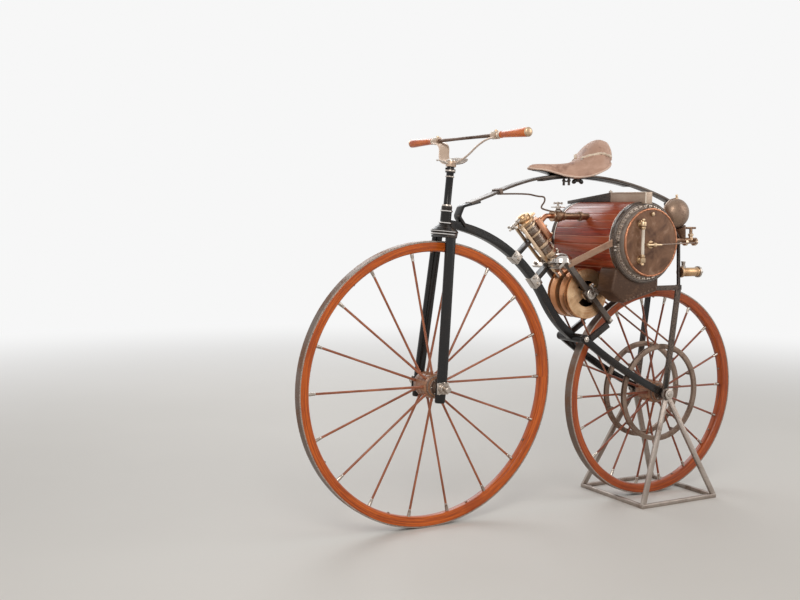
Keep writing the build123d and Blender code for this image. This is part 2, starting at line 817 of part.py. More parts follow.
# The saddle's side outline: share of its reach ahead or behind, share of the cantle's height
saddle_side = [(1.0, 0.13), (0.85, 0.26), (0.58, 0.244), (0.217, 0.267), (0.0, 0.466), (-0.413, 0.84),
               (-0.688, 1.0), (-0.925, 0.863), (-0.988, 0.702), (-0.938, 0.313), (-0.656, 0.18)]
# its lower edge: the same share, height above the leaf's middle
saddle_under = [(-0.41, 6.0), (-0.137, -9.0), (0.116, -14.0), (0.37, -10.0), (0.53, 2.0), (0.79, 15.0)]
# and its plan on one side: the same share, share of the nose's and of the seat's half width
saddle_plan = [(-1.0, 0.0, 0.72), (-0.844, 0.0, 1.0), (-0.344, 0.0, 1.0), (0.222, 1.27, 0.0),
               (0.862, 1.0, 0.0), (1.01, 0.53, 0.0)]


def reach(share):
    return spring_top[0] + share * (nose_reach if share > 0 else tail_reach)


with BuildPart() as saddle:
    side = [(reach(x), z * cantle_h) for x, z in saddle_side] + [(reach(x), z) for x, z in saddle_under]
    with BuildSketch(side_plane()) as outline:
        with BuildLine():
            Polyline(*[flat(x, spring_top[1] + z) for x, z in side], close=True)
        make_face()
    extrude(outline.sketch, amount=saddle_half, both=True)
    plan = [(reach(x), n * nose_half + w * saddle_half) for x, n, w in saddle_plan]
    with BuildSketch(Plane.XY.offset(spring_top[1] - cantle_h)) as outline:
        with BuildLine():
            Polyline(*[(rear_x + x, -y) for x, y in plan], *[(rear_x + x, y) for x, y in reversed(plan)],
                     close=True)
        make_face()
    extrude(outline.sketch, amount=3 * cantle_h, mode=Mode.INTERSECT)
    leaf(spring_t + 1, spring_w / 2 + 1, Mode.SUBTRACT)
    block(reach(-1), reach(1), -clamp_half - 1, clamp_half + 1,
          spring_top[1] - cantle_h, spring_top[1] - spring_t / 2, Mode.SUBTRACT)
save(saddle, "saddle")

# Boiler fittings: tray, water gauge, round gauge, feed valve, feed pump and stays

with BuildPart() as tray:
    tray_rear = boiler_at - ahead * tray_back
    with BuildSketch(Plane(origin=tray_rear, x_dir=left, z_dir=ahead)) as outline:
        with BuildLine():
            Polyline((tray_left, tray_low), (tray_left, tray_high), (tray_flat, tray_high),
                     (-tray_right, tray_low + 12), (-tray_right, tray_low), close=True)
        make_face()
    extrude(outline.sketch, amount=tray_back + tray_ahead)
    minus(barrel, ends)
save(tray, "top_tray")

face_y = barrel_half + flange_t + face_t
with BuildPart() as water_gauge:
    glass_x = boiler[0] + glass_ahead
    low, high = boiler[1] - glass_low, boiler[1] + glass_high
    rod(at(glass_x, face_y + glass_off, low), at(glass_x, face_y + glass_off, high), glass_r)
    for z in (low + glass_r + 1, high - glass_r - 1):
        rod(at(glass_x, face_y, z), at(glass_x, face_y + glass_off, z), glass_r + 2)
    rod(at(boiler[0] + 8, face_y, boiler[1] - 7), at(boiler[0] + 8, face_y + 30, boiler[1] - 7), 8)
    rod(at(boiler[0] - 22, face_y + 24, boiler[1] - 7), at(boiler[0] + 38, face_y + 24, boiler[1] - 7), 4)
    rod(at(boiler[0] + 2, face_y, boiler[1] + 98), at(boiler[0] + 2, face_y + 10, boiler[1] + 98), 7)
save(water_gauge, "water_gauge")

gauge_side = barrel_half - gauge_in
gauge_at = boiler_at + left * gauge_side - ahead * gauge_back + up * gauge_above
with BuildPart() as round_gauge:
    turned([(0, -14), (gauge_r - 3, -14), (gauge_r, -10), (gauge_r, 0), (gauge_r * 0.92, gauge_h * 0.42),
            (gauge_r * 0.75, gauge_h * 0.7), (gauge_r * 0.4, gauge_h * 0.94), (0, gauge_h)], gauge_at, left, ahead)
    rod(gauge_at + up * (gauge_r - 4), gauge_at + up * (gauge_r + 12), 6)
save(round_gauge, "pressure_gauge")

with BuildPart() as feed_valve:
    y, z = gauge_side, boiler[1] + 6
    under = boiler[0] - gauge_back
    rod(at(boiler[0] - boiler_r + 10, y, z), at(under - 100, y, z), 9)
    foot = at(under - 40, y, z)
    rod(foot, gauge_at - (gauge_at - foot).normalized() * (gauge_r + fit), 8, 21)
    rod(at(under - 80, y - 26, z), at(under - 80, y + 26, z), 5)
    rod(at(under - 74, y, z), at(under - 74, y, z + 48), 6)
    rod(at(under - 96, y, z + 44), at(under - 52, y, z + 44), 4)
    rod(at(boiler[0] - boiler_r + 6, y, z), at(boiler[0] - boiler_r - 6, y, z), 17)
    minus(barrel)
save(feed_valve, "feed_valve")

with BuildPart() as pump:
    x1 = strut_top[0] - strut_w / 2 + 5
    x0 = x1 - pump_len
    y, z = fork_out - 4, strut_top[1] + pump_above
    rod(at(x1, y, z), at(x0, y, z), pump_r)
    rod(at(x0, y, z), at(x0 - 8, y, z), pump_r + 4)
    rod(at(x1 - 20, y, z), at(x1 - 20, y, z + 36), 7)
    minus(struts["left"])
save(pump, "feed_pump")

with BuildPart() as stays:
    for s in sides.values():
        seat = on_engine(rail_top - 12, 6, s * (rail_in + rail_t + 1))
        strap(seat, at(boiler[0] + boiler_r - 4, s * (barrel_half + 6), boiler[1] + 1), 22, 5, up)
    minus(ends, barrel, cross_plate, *rails.values())
save(stays, "boiler_stays")

# Steam way: valve on the barrel, copper elbow to the chest and the throttle rod

with BuildPart() as steam_valve:
    rod(at(boiler[0] + 80, 0, steam_z), at(steam_end, 0, steam_z), steam_r)
    rod(at(steam_end - 46, 0, steam_z), at(steam_end - 8, 0, steam_z), steam_r + 8)
    rod(at(steam_end - 27, 0, steam_z), at(steam_end - 27, 0, steam_z + 36), 7)
    rod(at(steam_end - 50, 0, steam_z + 32), at(steam_end - 4, 0, steam_z + 32), 4.5)
    rod(at(steam_end - 8, 0, steam_z), at(steam_end, 0, steam_z), steam_r + 6)
    minus(barrel)
save(steam_valve, "steam_valve")

with BuildPart() as steam_pipe:
    chest_face = on_engine(chest_t, -cyl_r - 20)
    back = (steam_z - chest_face.Z) / sin(radians(90 - tilt))
    bend = chest_face - cyl_ahead * back
    with BuildLine() as path:
        FilletPolyline(at(steam_end, 0, steam_z), bend, chest_face, radius=14)
    with BuildSketch(plane_to(at(steam_end, 0, steam_z), bend)) as section:
        Circle(elbow_r)
    sweep(section.sketch, path=path.wires()[0])
save(steam_pipe, "steam_pipe")

# It hangs in a clasp on the spring and bends down to the valve
with BuildPart() as throttle:
    leaf_at = front_bow @ clasp_share
    leaf_along = front_bow % clasp_share
    clasp = Vector(leaf_at.X, 0, leaf_at.Y)
    along = Vector(leaf_along.X, 0, leaf_along.Y)
    hang = clasp - up * (spring_t + 1)
    drop = at(steam_end + 47, 0, steam_z + 23)
    corner = drop + up * 43 - ahead * 8
    sag = corner + (hang - corner) * 0.41 + up * 8
    with BuildLine() as path:
        FilletPolyline(hang, sag, corner, drop, radius=3 * throttle_r)
    with BuildSketch(plane_to(hang, sag)) as section:
        Circle(throttle_r)
    sweep(section.sketch, path=path.wires()[0])
    rod(drop + up * 2, at(steam_end - 2, 0, steam_z + steam_r + 4), throttle_r)
    strap(clasp - along * clasp_len / 2, clasp + along * clasp_len / 2,
          spring_w + 6, 2 * spring_t, left)
    minus(spring, steam_valve, steam_pipe)
save(throttle, "throttle_rod")
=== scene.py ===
# %% [markdown]
# # A steam velocipede, dressed
#
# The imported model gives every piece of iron, wood and brass its place. This lesson gives them their
# looks: rounded edges, turned beads, rivets, boards, leather and worn finishes. Everything is in
# metres, with +X ahead, +Y to the rider's left and +Z up.

# %% Load the frame
import json
from math import asin, cos, degrees, pi, radians, sin

import bpy
from mathutils import Matrix, Vector

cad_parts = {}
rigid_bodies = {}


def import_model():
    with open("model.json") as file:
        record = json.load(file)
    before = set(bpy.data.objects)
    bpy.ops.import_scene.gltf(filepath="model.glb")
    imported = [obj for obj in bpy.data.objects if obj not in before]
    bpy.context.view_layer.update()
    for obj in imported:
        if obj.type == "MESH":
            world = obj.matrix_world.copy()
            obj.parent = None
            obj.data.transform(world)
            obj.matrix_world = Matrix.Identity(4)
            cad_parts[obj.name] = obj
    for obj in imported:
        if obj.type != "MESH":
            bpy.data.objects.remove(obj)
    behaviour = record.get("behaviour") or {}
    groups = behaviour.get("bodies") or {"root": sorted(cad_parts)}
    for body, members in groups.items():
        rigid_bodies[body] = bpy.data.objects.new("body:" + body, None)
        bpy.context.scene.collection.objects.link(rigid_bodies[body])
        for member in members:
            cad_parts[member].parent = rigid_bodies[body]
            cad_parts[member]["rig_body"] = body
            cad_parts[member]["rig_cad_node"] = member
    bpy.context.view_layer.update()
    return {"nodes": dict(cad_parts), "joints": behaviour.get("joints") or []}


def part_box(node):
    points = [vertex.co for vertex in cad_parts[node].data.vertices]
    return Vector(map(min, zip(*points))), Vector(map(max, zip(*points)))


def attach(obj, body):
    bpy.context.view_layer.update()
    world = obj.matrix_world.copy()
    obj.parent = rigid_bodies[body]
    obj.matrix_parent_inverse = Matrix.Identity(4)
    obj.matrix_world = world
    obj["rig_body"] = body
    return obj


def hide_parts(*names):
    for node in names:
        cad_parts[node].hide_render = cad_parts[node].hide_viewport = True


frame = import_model()

# %% [markdown]
# ## Where things are
#
# A mechanic measures from the axles. The same is done here: the middle of a tyre's box is its axle,
# the boiler's ends give the boiler's axis, and the flywheels give the crank. Nothing is typed twice,
# so if the model behind this file changes, the dressing follows it.

# %% Read the main places from the frame
mm = 0.001


def middle(node):
    low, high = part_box(node)
    return (low + high) / 2


def size(node):
    low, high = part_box(node)
    return high - low


X, Y, Z = Vector((1, 0, 0)), Vector((0, 1, 0)), Vector((0, 0, 1))
SIDES = {"left": 1, "right": -1}
rear_axle = middle("rear_tyre")
front_axle = middle("front_tyre")
rear_r = size("rear_tyre").z / 2
front_r = size("front_tyre").z / 2
boiler = middle("boiler_ends")
crank = middle("flywheels")
steer = next(j for j in frame["joints"] if j["name"] == "steering")
steer_up = Vector(steer["axis"]).normalized()
steer_ahead = Y.cross(steer_up)
print("wheelbase", round((front_axle - rear_axle).length, 3), "boiler at", tuple(round(v, 3) for v in boiler))

# %% [markdown]
# ## The camera
#
# The photograph was taken from the left and ahead, a little above the saddle's height. Its place and
# direction were found from the two wheels, which are circles of known size. A camera in Blender looks
# along its own -Z, so its three axes are written as the columns of a matrix.

# %% Set the camera
camera_place = Vector((2.2329, 3.0219, 1.0513))
yaw, pitch, roll = radians(-119.0031), radians(-4.7049), radians(0.6598)
focal = 47.886

forward = Vector((cos(yaw) * cos(pitch), sin(yaw) * cos(pitch), sin(pitch)))
right = Vector((sin(yaw), -cos(yaw), 0))
upward = right.cross(forward)
right, upward = cos(roll) * right + sin(roll) * upward, cos(roll) * upward - sin(roll) * right

bpy.ops.object.camera_add(location=camera_place)
camera = bpy.context.object
camera.data.lens = focal
camera.data.sensor_width = 36
camera.rotation_euler = Matrix((right, upward, -forward)).transposed().to_euler()
bpy.context.scene.camera = camera
bpy.context.scene.view_settings.view_transform = "Standard"
print("camera", round((camera_place - boiler).length, 2), "m from the boiler")

# %% [markdown]
# ## Material helpers
#
# Every finish below is a small recipe of the same steps: stretch a noise along the grain, turn it into
# a mask, and mix two or three colours, a roughness and a bump with it. These helpers shorten the
# recipes. They read Object coordinates, so that a pattern stays on its piece when the piece moves.

# %% Helpers for node trees


class Finish:
    """A material being built: it makes nodes, links them and ends in one Principled shader."""

    def __init__(self, name, **constants):
        self.material = bpy.data.materials.new(name)
        self.material.use_nodes = True
        self.tree = self.material.node_tree
        self.shader = self.tree.nodes["Principled BSDF"]
        self.coords = self.tree.nodes.new("ShaderNodeTexCoord").outputs["Object"]
        for socket, value in constants.items():
            self.shader.inputs[socket.replace("_", " ")].default_value = value

    def put(self, socket, value):
        """A linked output goes into the socket, a number or a colour is set on it."""
        if isinstance(value, bpy.types.NodeSocket):
            self.tree.links.new(value, socket)
        elif hasattr(value, "__len__") and len(value) == 3 and len(socket.default_value) == 4:
            socket.default_value = (*value, 1)
        else:
            socket.default_value = value

    def math(self, operation, a, b=0.0, c=0.0):
        node = self.tree.nodes.new("ShaderNodeMath")
        node.operation = operation
        for socket, value in zip(node.inputs, (a, b, c)):
            self.put(socket, value)
        return node.outputs[0]

    def spread(self, scale):
        """Object coordinates, stretched."""
        node = self.tree.nodes.new("ShaderNodeMapping")
        self.put(node.inputs["Vector"], self.coords)
        node.inputs["Scale"].default_value = scale
        return node.outputs[0]

    def polar(self, centre, along_scale, across_scale, side_scale):
        """Coordinates round a wheel's axle: along the rim, across it and sideways."""
        split = self.tree.nodes.new("ShaderNodeSeparateXYZ")
        self.put(split.inputs[0], self.coords)
        dx = self.math("SUBTRACT", split.outputs["X"], centre.x)
        dz = self.math("SUBTRACT", split.outputs["Z"], centre.z)
        squares = self.math("ADD", self.math("MULTIPLY", dx, dx), self.math("MULTIPLY", dz, dz))
        reach = self.math("SQRT", squares)
        turn = self.math("ARCTAN2", dz, dx)
        join = self.tree.nodes.new("ShaderNodeCombineXYZ")
        self.put(join.inputs[0], self.math("MULTIPLY", turn, along_scale))
        self.put(join.inputs[1], self.math("MULTIPLY", reach, across_scale))
        self.put(join.inputs[2], self.math("MULTIPLY", split.outputs["Y"], side_scale))
        return join.outputs[0], turn, reach

    def noise(self, vector, scale=1.0, detail=4.0, rough=0.55, bend=0.0):
        node = self.tree.nodes.new("ShaderNodeTexNoise")
        self.put(node.inputs["Vector"], vector)
        node.inputs["Scale"].default_value = scale
        node.inputs["Detail"].default_value = detail
        node.inputs["Roughness"].default_value = rough
        node.inputs["Distortion"].default_value = bend
        return node.outputs["Fac"]

    def cells(self, vector, scale, feature="F1"):
        node = self.tree.nodes.new("ShaderNodeTexVoronoi")
        node.feature = feature
        self.put(node.inputs["Vector"], vector)
        node.inputs["Scale"].default_value = scale
        return node.outputs["Distance"]

    def mask(self, value, low, high):
        """0 below low, 1 above high and smooth between."""
        node = self.tree.nodes.new("ShaderNodeMapRange")
        node.interpolation_type = "SMOOTHSTEP"
        self.put(node.inputs["Value"], value)
        node.inputs["From Min"].default_value = low
        node.inputs["From Max"].default_value = high
        return node.outputs[0]

    def mix(self, share, a, b):
        node = self.tree.nodes.new("ShaderNodeMix")
        node.data_type = "RGBA"
        self.put(node.inputs["Factor"], share)
        self.put(node.inputs["A"], a)
        self.put(node.inputs["B"], b)
        return node.outputs["Result"]

    def colour(self, value):
        self.put(self.shader.inputs["Base Color"], value)

    def rough(self, value, low, high):
        """Roughness that follows a mask from low to high."""
        spread = self.math("MULTIPLY_ADD", value, high - low, low)
        self.put(self.shader.inputs["Roughness"], spread)

    def bump(self, height, depth, strength=0.6):
        node = self.tree.nodes.new("ShaderNodeBump")
        node.inputs["Strength"].default_value = strength
        node.inputs["Distance"].default_value = depth
        self.put(node.inputs["Height"], height)
        self.put(self.shader.inputs["Normal"], node.outputs[0])

    def edges(self, low=0.52, high=0.60):
        """1 on sharp outer edges, where hands and cloths rub."""
        geometry = self.tree.nodes.new("ShaderNodeNewGeometry")
        return self.mask(geometry.outputs["Pointiness"], low, high)


print("finish helper ready")

# %% [markdown]
# ## Metals
#
# Old iron is never one colour: it is painted black, rubbed to brown where it is handled, and dusty in
# its corners. Brass and copper dull in patches. One function covers them all: a clean colour, a stain,
# a colour for rubbed edges, and how rough the clean and the stained parts are.

# %% Metal finishes


def metal(name, clean, stain, rubbed, rough, share=0.5, grain=(60, 60, 60), metallic=1.0, depth=0.0004,
          shine=0.5):
    """Clouds and a fine grain stain the clean metal, and sharp edges show the rubbed colour."""
    f = Finish(name, Metallic=metallic, Specular_IOR_Level=shine)
    broad = f.noise(f.spread((1, 1, 1)), 9, 5, 0.6, 0.4)
    fine = f.noise(f.spread(grain), 4, 6, 0.65)
    stained = f.mask(f.math("MULTIPLY_ADD", fine, 0.45, f.math("MULTIPLY", broad, 0.55)), 0.60 - share * 0.3,
                     0.72 - share * 0.2)
    body = f.mix(stained, clean, stain)
    f.colour(f.mix(f.math("MULTIPLY", f.edges(), f.mask(fine, 0.3, 0.6)), body, rubbed))
    f.rough(f.mask(f.math("ADD", stained, f.math("MULTIPLY", fine, 0.5)), 0.0, 1.4), *rough)
    f.bump(f.noise(f.spread(grain), 9, 5, 0.6), depth)
    return f.material


black_iron = metal("worn_black_iron", (0.0085, 0.0075, 0.0070), (0.024, 0.0145, 0.010), (0.16, 0.115, 0.09),
                   (0.17, 0.36), 0.4, metallic=0.0, shine=0.32)
# A round bar has no edge to rub bright, so its rubbed colour stays close to black.
forged_black = metal("forged_black_iron", (0.0085, 0.0075, 0.0070), (0.020, 0.013, 0.010),
                     (0.012, 0.010, 0.009), (0.15, 0.34), 0.35, metallic=0.0, shine=0.34)
rail_iron = metal("rail_iron", (0.10, 0.082, 0.070), (0.055, 0.036, 0.026), (0.42, 0.36, 0.31),
                  (0.30, 0.52), 0.5, metallic=0.7)
brown_iron = metal("brown_iron", (0.17, 0.105, 0.075), (0.085, 0.042, 0.026), (0.40, 0.30, 0.24),
                   (0.38, 0.66), 0.5, metallic=0.6)
brown_rod = metal("brown_rod", (0.11, 0.066, 0.048), (0.060, 0.032, 0.021), (0.30, 0.22, 0.17),
                  (0.42, 0.66), 0.5, metallic=0.4)
tyre_iron = metal("tyre_iron", (0.17, 0.125, 0.10), (0.20, 0.09, 0.045), (0.48, 0.42, 0.37),
                  (0.38, 0.68), 0.45, metallic=0.8)
bright_steel = metal("filed_steel", (0.44, 0.385, 0.335), (0.22, 0.155, 0.115), (0.66, 0.61, 0.56),
                     (0.22, 0.48), 0.45, grain=(25, 140, 60))
cylinder_steel = metal("cylinder_steel", (0.40, 0.335, 0.285), (0.17, 0.115, 0.085), (0.62, 0.55, 0.48),
                       (0.18, 0.40), 0.5, grain=(25, 140, 60))
clamp_steel = metal("clamp_steel", (0.36, 0.31, 0.27), (0.20, 0.145, 0.11), (0.58, 0.53, 0.48),
                    (0.20, 0.44), 0.4)
polished_steel = metal("polished_steel", (0.56, 0.52, 0.485), (0.30, 0.245, 0.205), (0.76, 0.73, 0.70),
                       (0.10, 0.28), 0.25)
ring_steel = metal("hoop_steel", (0.52, 0.44, 0.38), (0.30, 0.20, 0.15), (0.70, 0.64, 0.58),
                   (0.24, 0.46), 0.4)
brass = metal("rubbed_brass", (0.52, 0.33, 0.18), (0.28, 0.150, 0.078), (0.72, 0.53, 0.34),
              (0.24, 0.50), 0.45)
pale_brass = metal("pale_brass", (0.60, 0.43, 0.28), (0.34, 0.21, 0.125), (0.76, 0.61, 0.45),
                   (0.28, 0.52), 0.45)
old_brass = metal("old_brass", (0.50, 0.35, 0.21), (0.25, 0.15, 0.085), (0.72, 0.56, 0.38), (0.28, 0.54), 0.5)
dark_bronze = metal("dark_bronze", (0.26, 0.155, 0.095), (0.12, 0.060, 0.038), (0.52, 0.36, 0.24),
                    (0.28, 0.52), 0.5, metallic=0.85)
tan_metal = metal("tan_sheet", (0.44, 0.325, 0.245), (0.27, 0.175, 0.125), (0.60, 0.48, 0.38),
                  (0.40, 0.62), 0.5, metallic=0.35)
pale_edge = metal("pale_edge", (0.60, 0.50, 0.40), (0.42, 0.31, 0.23), (0.74, 0.66, 0.56), (0.34, 0.55), 0.4,
                  metallic=0.6)
arm_tan = metal("arm_tan", (0.56, 0.41, 0.305), (0.33, 0.19, 0.12), (0.72, 0.59, 0.48), (0.30, 0.54), 0.4,
                metallic=0.6)
copper = metal("dull_copper", (0.46, 0.20, 0.11), (0.22, 0.085, 0.048), (0.70, 0.40, 0.26),
               (0.26, 0.52), 0.45)
boiler_plate = metal("boiler_plate", (0.38, 0.325, 0.285), (0.20, 0.145, 0.115), (0.56, 0.49, 0.43),
                     (0.36, 0.62), 0.5, metallic=0.55)
heat_brown = metal("heat_brown", (0.075, 0.038, 0.022), (0.16, 0.085, 0.05), (0.27, 0.18, 0.13),
                   (0.34, 0.58), 0.55, grain=(30, 12, 40), metallic=0.15, shine=0.28)
brown_stay = metal("brown_stay", (0.34, 0.19, 0.12), (0.16, 0.080, 0.052), (0.52, 0.36, 0.26),
                   (0.36, 0.60), 0.5, metallic=0.6)
gauge_brown = metal("gauge_brown", (0.30, 0.20, 0.14), (0.19, 0.115, 0.08), (0.46, 0.35, 0.27),
                    (0.30, 0.52), 0.5, metallic=0.5)
stud_steel = metal("stud_steel", (0.50, 0.42, 0.35), (0.30, 0.21, 0.16), (0.66, 0.58, 0.50), (0.3, 0.5), 0.4)
grey_ring = metal("ring_iron", (0.27, 0.195, 0.150), (0.14, 0.080, 0.052), (0.46, 0.37, 0.30),
                  (0.36, 0.62), 0.5, metallic=0.7)
stand_steel = metal("stand_steel", (0.36, 0.305, 0.265), (0.17, 0.110, 0.080), (0.56, 0.50, 0.45),
                    (0.32, 0.58), 0.45, metallic=0.85)
print("metals made")

# %% [markdown]
# ## Wood
#
# The rims are bent ash, so their grain runs round the wheel. A texture in straight coordinates would
# cross it, so the rim's recipe first turns the coordinates into angle and radius about the axle. The
# hubs and grips are turned on a lathe along Y, and the boiler's boards lie along Y too.

# %% Wood finishes


def wood(name, dark, mid, light, vector_of, rough=(0.28, 0.5), coat=0.35, depth=0.00025):
    """The grain follows the given coordinates. Pores are light, and broad patches turn dark again."""
    f = Finish(name, Coat_Weight=coat, Coat_Roughness=0.18, Specular_IOR_Level=0.25)
    vector = vector_of(f)
    grain = f.noise(vector, 1.0, 6, 0.62, 0.6)
    pores = f.noise(vector, 5.0, 3, 0.5)
    broad = f.noise(f.spread((1, 1, 1)), 6, 3, 0.5)
    body = f.mix(f.mask(grain, 0.34, 0.66), dark, mid)
    body = f.mix(f.math("MULTIPLY", f.mask(pores, 0.52, 0.72), 0.55), body, light)
    f.colour(f.mix(f.math("MULTIPLY", f.mask(broad, 0.5, 0.75), 0.55), body, dark))
    f.rough(f.mask(grain, 0.3, 0.7), *rough)
    f.bump(f.math("ADD", f.math("MULTIPLY", grain, 0.6), f.math("MULTIPLY", pores, 0.4)), depth)
    return f.material


def round_the(centre, radius):
    """Grain that runs round a rim."""
    return lambda f: f.polar(centre, radius * 6, 260, 200)[0]


def out_from(centre):
    """Grain that runs out along the spokes."""
    return lambda f: f.polar(centre, 90, 7, 260)[0]


def along_y(f):
    """Grain along a hub, which lies across the machine."""
    return f.spread((170, 6, 170))


# The front wheel's rim and spokes are lighter copies of the rear wheel's woods: painted light on the lit front
# wheel, painted shade on the rear one.
rim_wood = {
    "front": wood("front_rim_ash_lit", (0.30, 0.045, 0.006), (0.64, 0.130, 0.013), (0.78, 0.215, 0.030),
                  round_the(front_axle, front_r), coat=0.3),
    "rear": wood("rear_rim_ash_shaded", (0.22, 0.034, 0.008), (0.48, 0.095, 0.016), (0.62, 0.165, 0.034),
                 round_the(rear_axle, rear_r), coat=0.28),
}
spoke_wood = {
    "front": wood("front_spokes_brown_lit", (0.20, 0.052, 0.022), (0.46, 0.150, 0.066), (0.60, 0.25, 0.13),
                  out_from(front_axle)),
    "rear": wood("rear_spokes_brown_shaded", (0.15, 0.034, 0.015), (0.34, 0.088, 0.036), (0.46, 0.155, 0.078),
                 out_from(rear_axle)),
}
hub_wood = wood("turned_hub", (0.20, 0.085, 0.045), (0.42, 0.20, 0.105), (0.56, 0.31, 0.18), along_y)
grip_wood = wood("turned_grip", (0.50, 0.075, 0.008), (0.76, 0.165, 0.015), (0.86, 0.26, 0.040),
                 lambda f: f.spread((45, 7, 45)), rough=(0.2, 0.34), coat=0.3)
print("woods made")

# %% [markdown]
# ## Modelling helpers
#
# A frame builder has three basic jobs: turning on the lathe, sawing plate, and breaking sharp edges.
# Blender's operators work on whatever is selected. So the first helpers pick one piece, open and close
# its mesh, set it in its place and break its edges, and every later job starts with them.

# %% Helpers for picking, placing and edges
# Points closer than this are one point, and the tip of a turned piece has this radius in mm.
weld = 0.02 * mm
needle = 0.01


def clear():
    """Operators act on all that is selected, so each job starts with nothing selected."""
    if bpy.context.object and bpy.context.object.mode != "OBJECT":
        bpy.ops.object.mode_set(mode="OBJECT")
    bpy.ops.object.select_all(action="DESELECT")


def pick(piece):
    clear()
    piece.select_set(True)
    bpy.context.view_layer.objects.active = piece
    return piece


def edit(piece, select="SELECT"):
    pick(piece)
    bpy.ops.object.mode_set(mode="EDIT")
    bpy.ops.mesh.select_all(action=select)


def done():
    bpy.ops.object.mode_set(mode="OBJECT")


def turn_to(axis):
    """Rotation that takes +Z to an axis, with a steady side direction."""
    axis = Vector(axis).normalized()
    side = Y if abs(axis.dot(Y)) < 0.9 else X
    across = side.cross(axis).normalized()
    return Matrix((across, axis.cross(across), axis)).transposed().to_4x4()


def set_down(piece, place=(0, 0, 0), axis=None):
    """Moves the mesh, not the object: its place ends up in its vertices."""
    matrix = Matrix.Translation(place)
    if axis is not None:
        matrix = matrix @ turn_to(axis)
    piece.data.transform(matrix @ piece.matrix_world)
    piece.matrix_world = Matrix.Identity(4)
    return piece


def face_out(piece):
    edit(piece)
    bpy.ops.mesh.remove_doubles(threshold=weld)
    bpy.ops.mesh.normals_make_consistent(inside=False)
    done()
    return piece


def smooth(piece, angle=35):
    pick(piece)
    bpy.ops.object.shade_smooth_by_angle(angle=radians(angle))
    return piece


def modify(piece, kind, **settings):
    """Adds a modifier, sets it and applies it."""
    pick(piece)
    modifier = piece.modifiers.new(kind.lower(), kind)
    for key, value in settings.items():
        setattr(modifier, key, value)
    bpy.ops.object.modifier_apply(modifier=modifier.name)
    return piece


def bevelled(piece, width, segments=2, angle=30):
    return modify(piece, "BEVEL", width=width, segments=segments, limit_method="ANGLE",
                  angle_limit=radians(angle), use_clamp_overlap=True, harden_normals=False)


print("picking and placing ready")

# %% [markdown]
# ## Lathe and saw
#
# Most of this machine was turned on a lathe or cut from plate. `turned` grows a circle along a profile
# with extrude and resize, and three small helpers mirror a profile or lift it, so that it is written
# once. `kept` and `cut` take material away, and `pick_faces` opens a piece at chosen faces.

# %% Helpers for turning and cutting


def kept(piece, test):
    """Deletes what doesn't pass the test, given the place of each vertex."""
    edit(piece, "DESELECT")
    done()
    for v in piece.data.vertices:
        v.select = not test(v.co)
    bpy.ops.object.mode_set(mode="EDIT")
    bpy.ops.mesh.delete(type="VERT")
    done()
    return piece


def cut(piece, place, normal):
    """Cuts off what lies on the normal's side and closes the cut."""
    edit(piece)
    bpy.ops.mesh.bisect(plane_co=place, plane_no=normal, use_fill=True, clear_outer=True)
    done()
    return piece


def turned(profile, place=(0, 0, 0), axis=(0, 0, 1), steps=48, hollow=False):
    """Lathe work. The profile is (radius, height) in mm, from the foot up; hollow leaves its ends open."""
    clear()
    r, h = profile[0]
    bpy.ops.mesh.primitive_circle_add(vertices=steps, radius=r * mm, location=(0, 0, h * mm),
                                      fill_type="NOTHING" if hollow else "NGON")
    piece = bpy.context.object
    bpy.ops.object.transform_apply(location=True)
    edit(piece)
    for r1, h1 in profile[1:]:
        bpy.ops.mesh.extrude_region_move(TRANSFORM_OT_translate={"value": (0, 0, (h1 - h) * mm)})
        if r1 != r:
            share = max(r1, needle) / r
            bpy.ops.transform.resize(value=(share, share, 1))
        r, h = max(r1, needle), h1
    done()
    face_out(piece)
    return set_down(piece, place, axis)


def turned_ring(profile, place, axis, steps):
    """Lathe work on a ring, whose profile closes on its first point."""
    return turned(profile + profile[:1], place, axis, steps, hollow=True)


def both_sides(half):
    """A profile that is alike on both sides of its middle, from the points of one side."""
    return [(r, -h) for r, h in half] + [(r, h) for r, h in reversed(half)]


def at_side(s, profile):
    """The same profile on the left for 1, or mirrored to the right for -1."""
    return [(r, s * h) for r, h in profile]


def lifted(profile, by):
    """The same profile, so many mm higher up."""
    return [(r, h + by) for r, h in profile]


def pick_faces(piece, test):
    """Opens a piece for editing with only those faces selected that pass the test."""
    edit(piece, "DESELECT")
    bpy.ops.mesh.select_mode(type="FACE")
    done()
    for face in piece.data.polygons:
        face.select = test(face)
    bpy.ops.object.mode_set(mode="EDIT")


def close_faces():
    """Ends such an edit, and sets picking back to points."""
    bpy.ops.mesh.select_mode(type="VERT")
    done()


print("lathe and saw ready")

# %% [markdown]
# ## From the frame to a finished piece
#
# A piece of the frame has the right shape but hard edges, so `eased` takes a copy and breaks them.
# `copies` sets one part at many places, and `finish_piece` names a piece, gives it its finish and hands
# it to the body that carries it.

# %% Helpers for copies and finished pieces


def joined(pieces):
    clear()
    for piece in pieces:
        piece.select_set(True)
    bpy.context.view_layer.objects.active = pieces[0]
    if len(pieces) > 1:
        bpy.ops.object.join()
    return bpy.context.object


def copies(piece, matrices):
    """The same piece at several places, each with its own mesh, joined into one."""
    made = []
    for matrix in matrices:
        twin = piece.copy()
        twin.data = piece.data.copy()
        twin.data.transform(matrix)
        bpy.context.scene.collection.objects.link(twin)
        made.append(twin)
    bpy.data.objects.remove(piece)
    return joined(made)


def finish_piece(piece, name, body, material, replaces=(), angle=35):
    """Names a piece, smooths it, gives it its finish and hands it to the body that carries it."""
    piece.name = name
    piece.data.name = name
    smooth(piece, angle)
    piece.data.materials.clear()
    piece.data.materials.append(material)
    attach(piece, body)
    if replaces:
        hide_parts(*replaces)
    return piece


